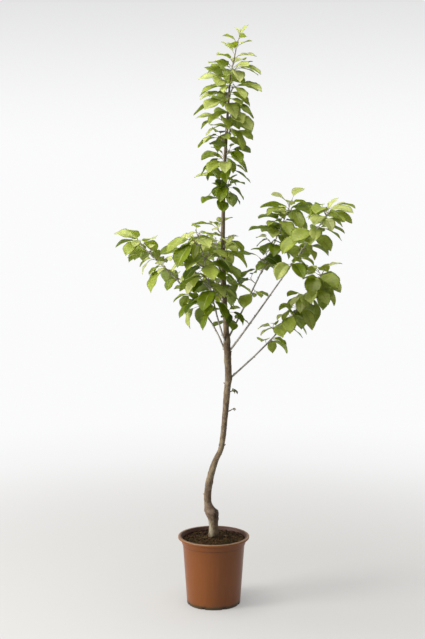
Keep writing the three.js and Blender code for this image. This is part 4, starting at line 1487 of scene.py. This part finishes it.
CRUMB_TONES = dict(
    dark=((0.006, 0.004, 0.002), (0.03, 0.018, 0.007)),
    brown=((0.026, 0.012, 0.007), (0.095, 0.043, 0.024)),
    peat=((0.014, 0.009, 0.003), (0.06, 0.039, 0.012)),
    chip=((0.055, 0.028, 0.016), (0.18, 0.095, 0.055)),
)
# Painted light and shade: how much deeper, or paler, the leaves of each mass are painted than their age
# says, deeper where a mass sits in shade and paler where it is lit
MASS_LIGHT_AND_SHADE = dict(
    left_low=-0.18, left_high=-0.02, right_high=0.06, right_long=-0.1,
    right_low=-0.42, back=0.08, leader=-0.17, middle=-0.1,
)

trunk_finish = trunk_bark()
bough_finish = bough_bark()
bud_finish = plain_noise("bud_scales", (0.12, 0.06, 0.03), (0.22, 0.12, 0.065), 400, 0.45)
cut_finish = plain_noise("cut_wood", (0.05, 0.036, 0.024), (0.12, 0.09, 0.06), 240, 0.75, 0.001)
stalk_finish = plain_noise("petiole", (0.2, 0.24, 0.04), (0.3, 0.2, 0.06), 60, 0.4)
gland_finish = plain_noise("gland", (0.3, 0.04, 0.02), (0.42, 0.09, 0.04), 300, 0.3)
dry_finish = plain_noise("dried_leaf", (0.11, 0.12, 0.05), (0.2, 0.19, 0.1), 180, 0.6)
leaf_set = leaf_finishes()

make_pot(pot_plastic())
make_compost(earth("compost", (0.007, 0.004, 0.0015), (0.07, 0.041, 0.012), 0.55))
make_crumbs([earth(f"crumb_{name}", *tones, 3) for name, tones in CRUMB_TONES.items()])
make_trunk(trunk_finish)
make_stub(trunk_finish, cut_finish)
make_bud_stubs(trunk_finish, bud_finish)
make_dried_leaves(dry_finish)
for bough in boughs:
    make_bough(bough, bough_finish, bud_finish)

bough_masses = [bough["mass"] for bough in boughs]
run_masses = {run["name"]: [spur["mass"] for spur in spurs if spur["run"] is run] for run in SPUR_RUNS}
run_masses["leader"].append(leader["mass"])
trunk_masses = run_masses["leader"] + run_masses["middle"]
make_twigs("bough_twigs", bough_masses, bough_finish, bud_finish)
make_twigs("trunk_twigs", trunk_masses, bough_finish, bud_finish)
make_petioles("bough_petioles", bough_masses, stalk_finish, gland_finish)
make_petioles("trunk_petioles", trunk_masses, stalk_finish, gland_finish)
for number, mass in enumerate(bough_masses):
    make_leaves(mass["name"], [mass], leaf_set, MASS_LIGHT_AND_SHADE[mass["name"]], 300 + number)
for number, (name, masses) in enumerate(run_masses.items()):
    make_leaves(name, masses, leaf_set, MASS_LIGHT_AND_SHADE[name], 400 + number)

# Floor, light and camera

BACKDROP = dict(
    bright=(0.965, 0.965, 0.97), dim=(0.13, 0.13, 0.134), bright_way=(-0.5, 0.866, 0),
    overhead=0.33, overhead_from=-0.045, overhead_to=0.13,
)
FLOOR = dict(
    radius=14, sides=96, plain_from=0.25, plain_to=3.0, colour=(0.575, 0.567, 0.553),
    glow=(0.73, 0.725, 0.715), glow_share=0.35, glow_from=0.6, glow_to=2.2,
)
LIGHTS = dict(
    key=dict(place=(-4.05, -1.6, 1.75), size=2.0, power=188, colour=(1.0, 0.985, 0.95)),
    top=dict(place=(-0.5, -0.4, 4.5), size=4.0, power=180, colour=(1.0, 0.99, 0.97)),
)
LIGHTS_AIM = Vector((0, 0, 1.0))
CAMERA = dict(place=(-0.00405, -5.10, 1.735), down=8.533, lens=87.9, sensor=36)


def backdrop_light(web, way):
    """The studio's paper lights the tree from behind and from the left, and looks pale all round."""
    toward = web.vector("DOT_PRODUCT", way, BACKDROP["bright_way"], out="Value")
    lit = web.blend(web.step(toward, -1.1, 0.75), BACKDROP["dim"], BACKDROP["bright"])
    return web.blend(web.node("ShaderNodeLightPath", out="Is Camera Ray"), lit, BACKDROP["bright"])


def make_floor():
    """A wide pale floor that melts into the background away from the pot, and glows a little everywhere, a
    painted light that lifts the cast shadow beside the pot.
    """
    finish = Finish("pale_floor", Base_Color=FLOOR["colour"], Roughness=0.9, Specular_IOR_Level=0.1)
    place = finish.place()
    away = finish.length(place)
    far = finish.step(away, FLOOR["glow_from"], FLOOR["glow_to"])
    glow = finish.blend(far, FLOOR["glow"], backdrop_light(finish, finish.vector("NORMALIZE", place)))
    plain = finish.step(away, FLOOR["plain_from"], FLOOR["plain_to"])
    # painted light: a share of glow even by the pot lightens the cast shadow there
    share = plain * (1 - FLOOR["glow_share"]) + FLOOR["glow_share"]
    finish.mix_in(share, "ShaderNodeEmission", glow)
    mesh = bpy.data.meshes.new("floor")
    rim = rim_ways(FLOOR["sides"]) * FLOOR["radius"]
    mesh.from_pydata(rim.tolist(), [], [tuple(range(FLOOR["sides"]))])
    mesh.materials.append(finish.material)
    show("floor", mesh)


def make_world():
    world = bpy.data.worlds.new("studio")
    world.use_nodes = True
    web = Web(world.node_tree)
    way = web.node("ShaderNodeTexCoord", out="Generated")
    high = web.step(web.axis(way, "Z"), BACKDROP["overhead_from"], BACKDROP["overhead_to"])
    light = web.blend(high * BACKDROP["overhead"], backdrop_light(web, way), (0, 0, 0))
    web.feed(world.node_tree.nodes["Background"].inputs["Color"], light)
    bpy.context.scene.world = world


def soft_light(name, place, size, power, colour):
    data = bpy.data.lights.new(name, "AREA")
    data.shape = "DISK"
    data.size = size
    data.energy = power
    data.color = colour
    lamp = show(name, data)
    lamp.location = place
    lamp.rotation_euler = (LIGHTS_AIM - Vector(place)).to_track_quat("-Z", "Y").to_euler()


def make_camera():
    data = bpy.data.cameras.new("camera")
    data.sensor_fit = "VERTICAL"
    data.sensor_height = CAMERA["sensor"]
    data.lens = CAMERA["lens"]
    camera = show("camera", data)
    camera.location = CAMERA["place"]
    camera.rotation_euler = (math.radians(90 - CAMERA["down"]), 0, 0)
    bpy.context.scene.camera = camera


make_floor()
make_world()
for name, light in LIGHTS.items():
    soft_light(name, **light)
make_camera()
bpy.context.scene.view_settings.view_transform = "Standard"
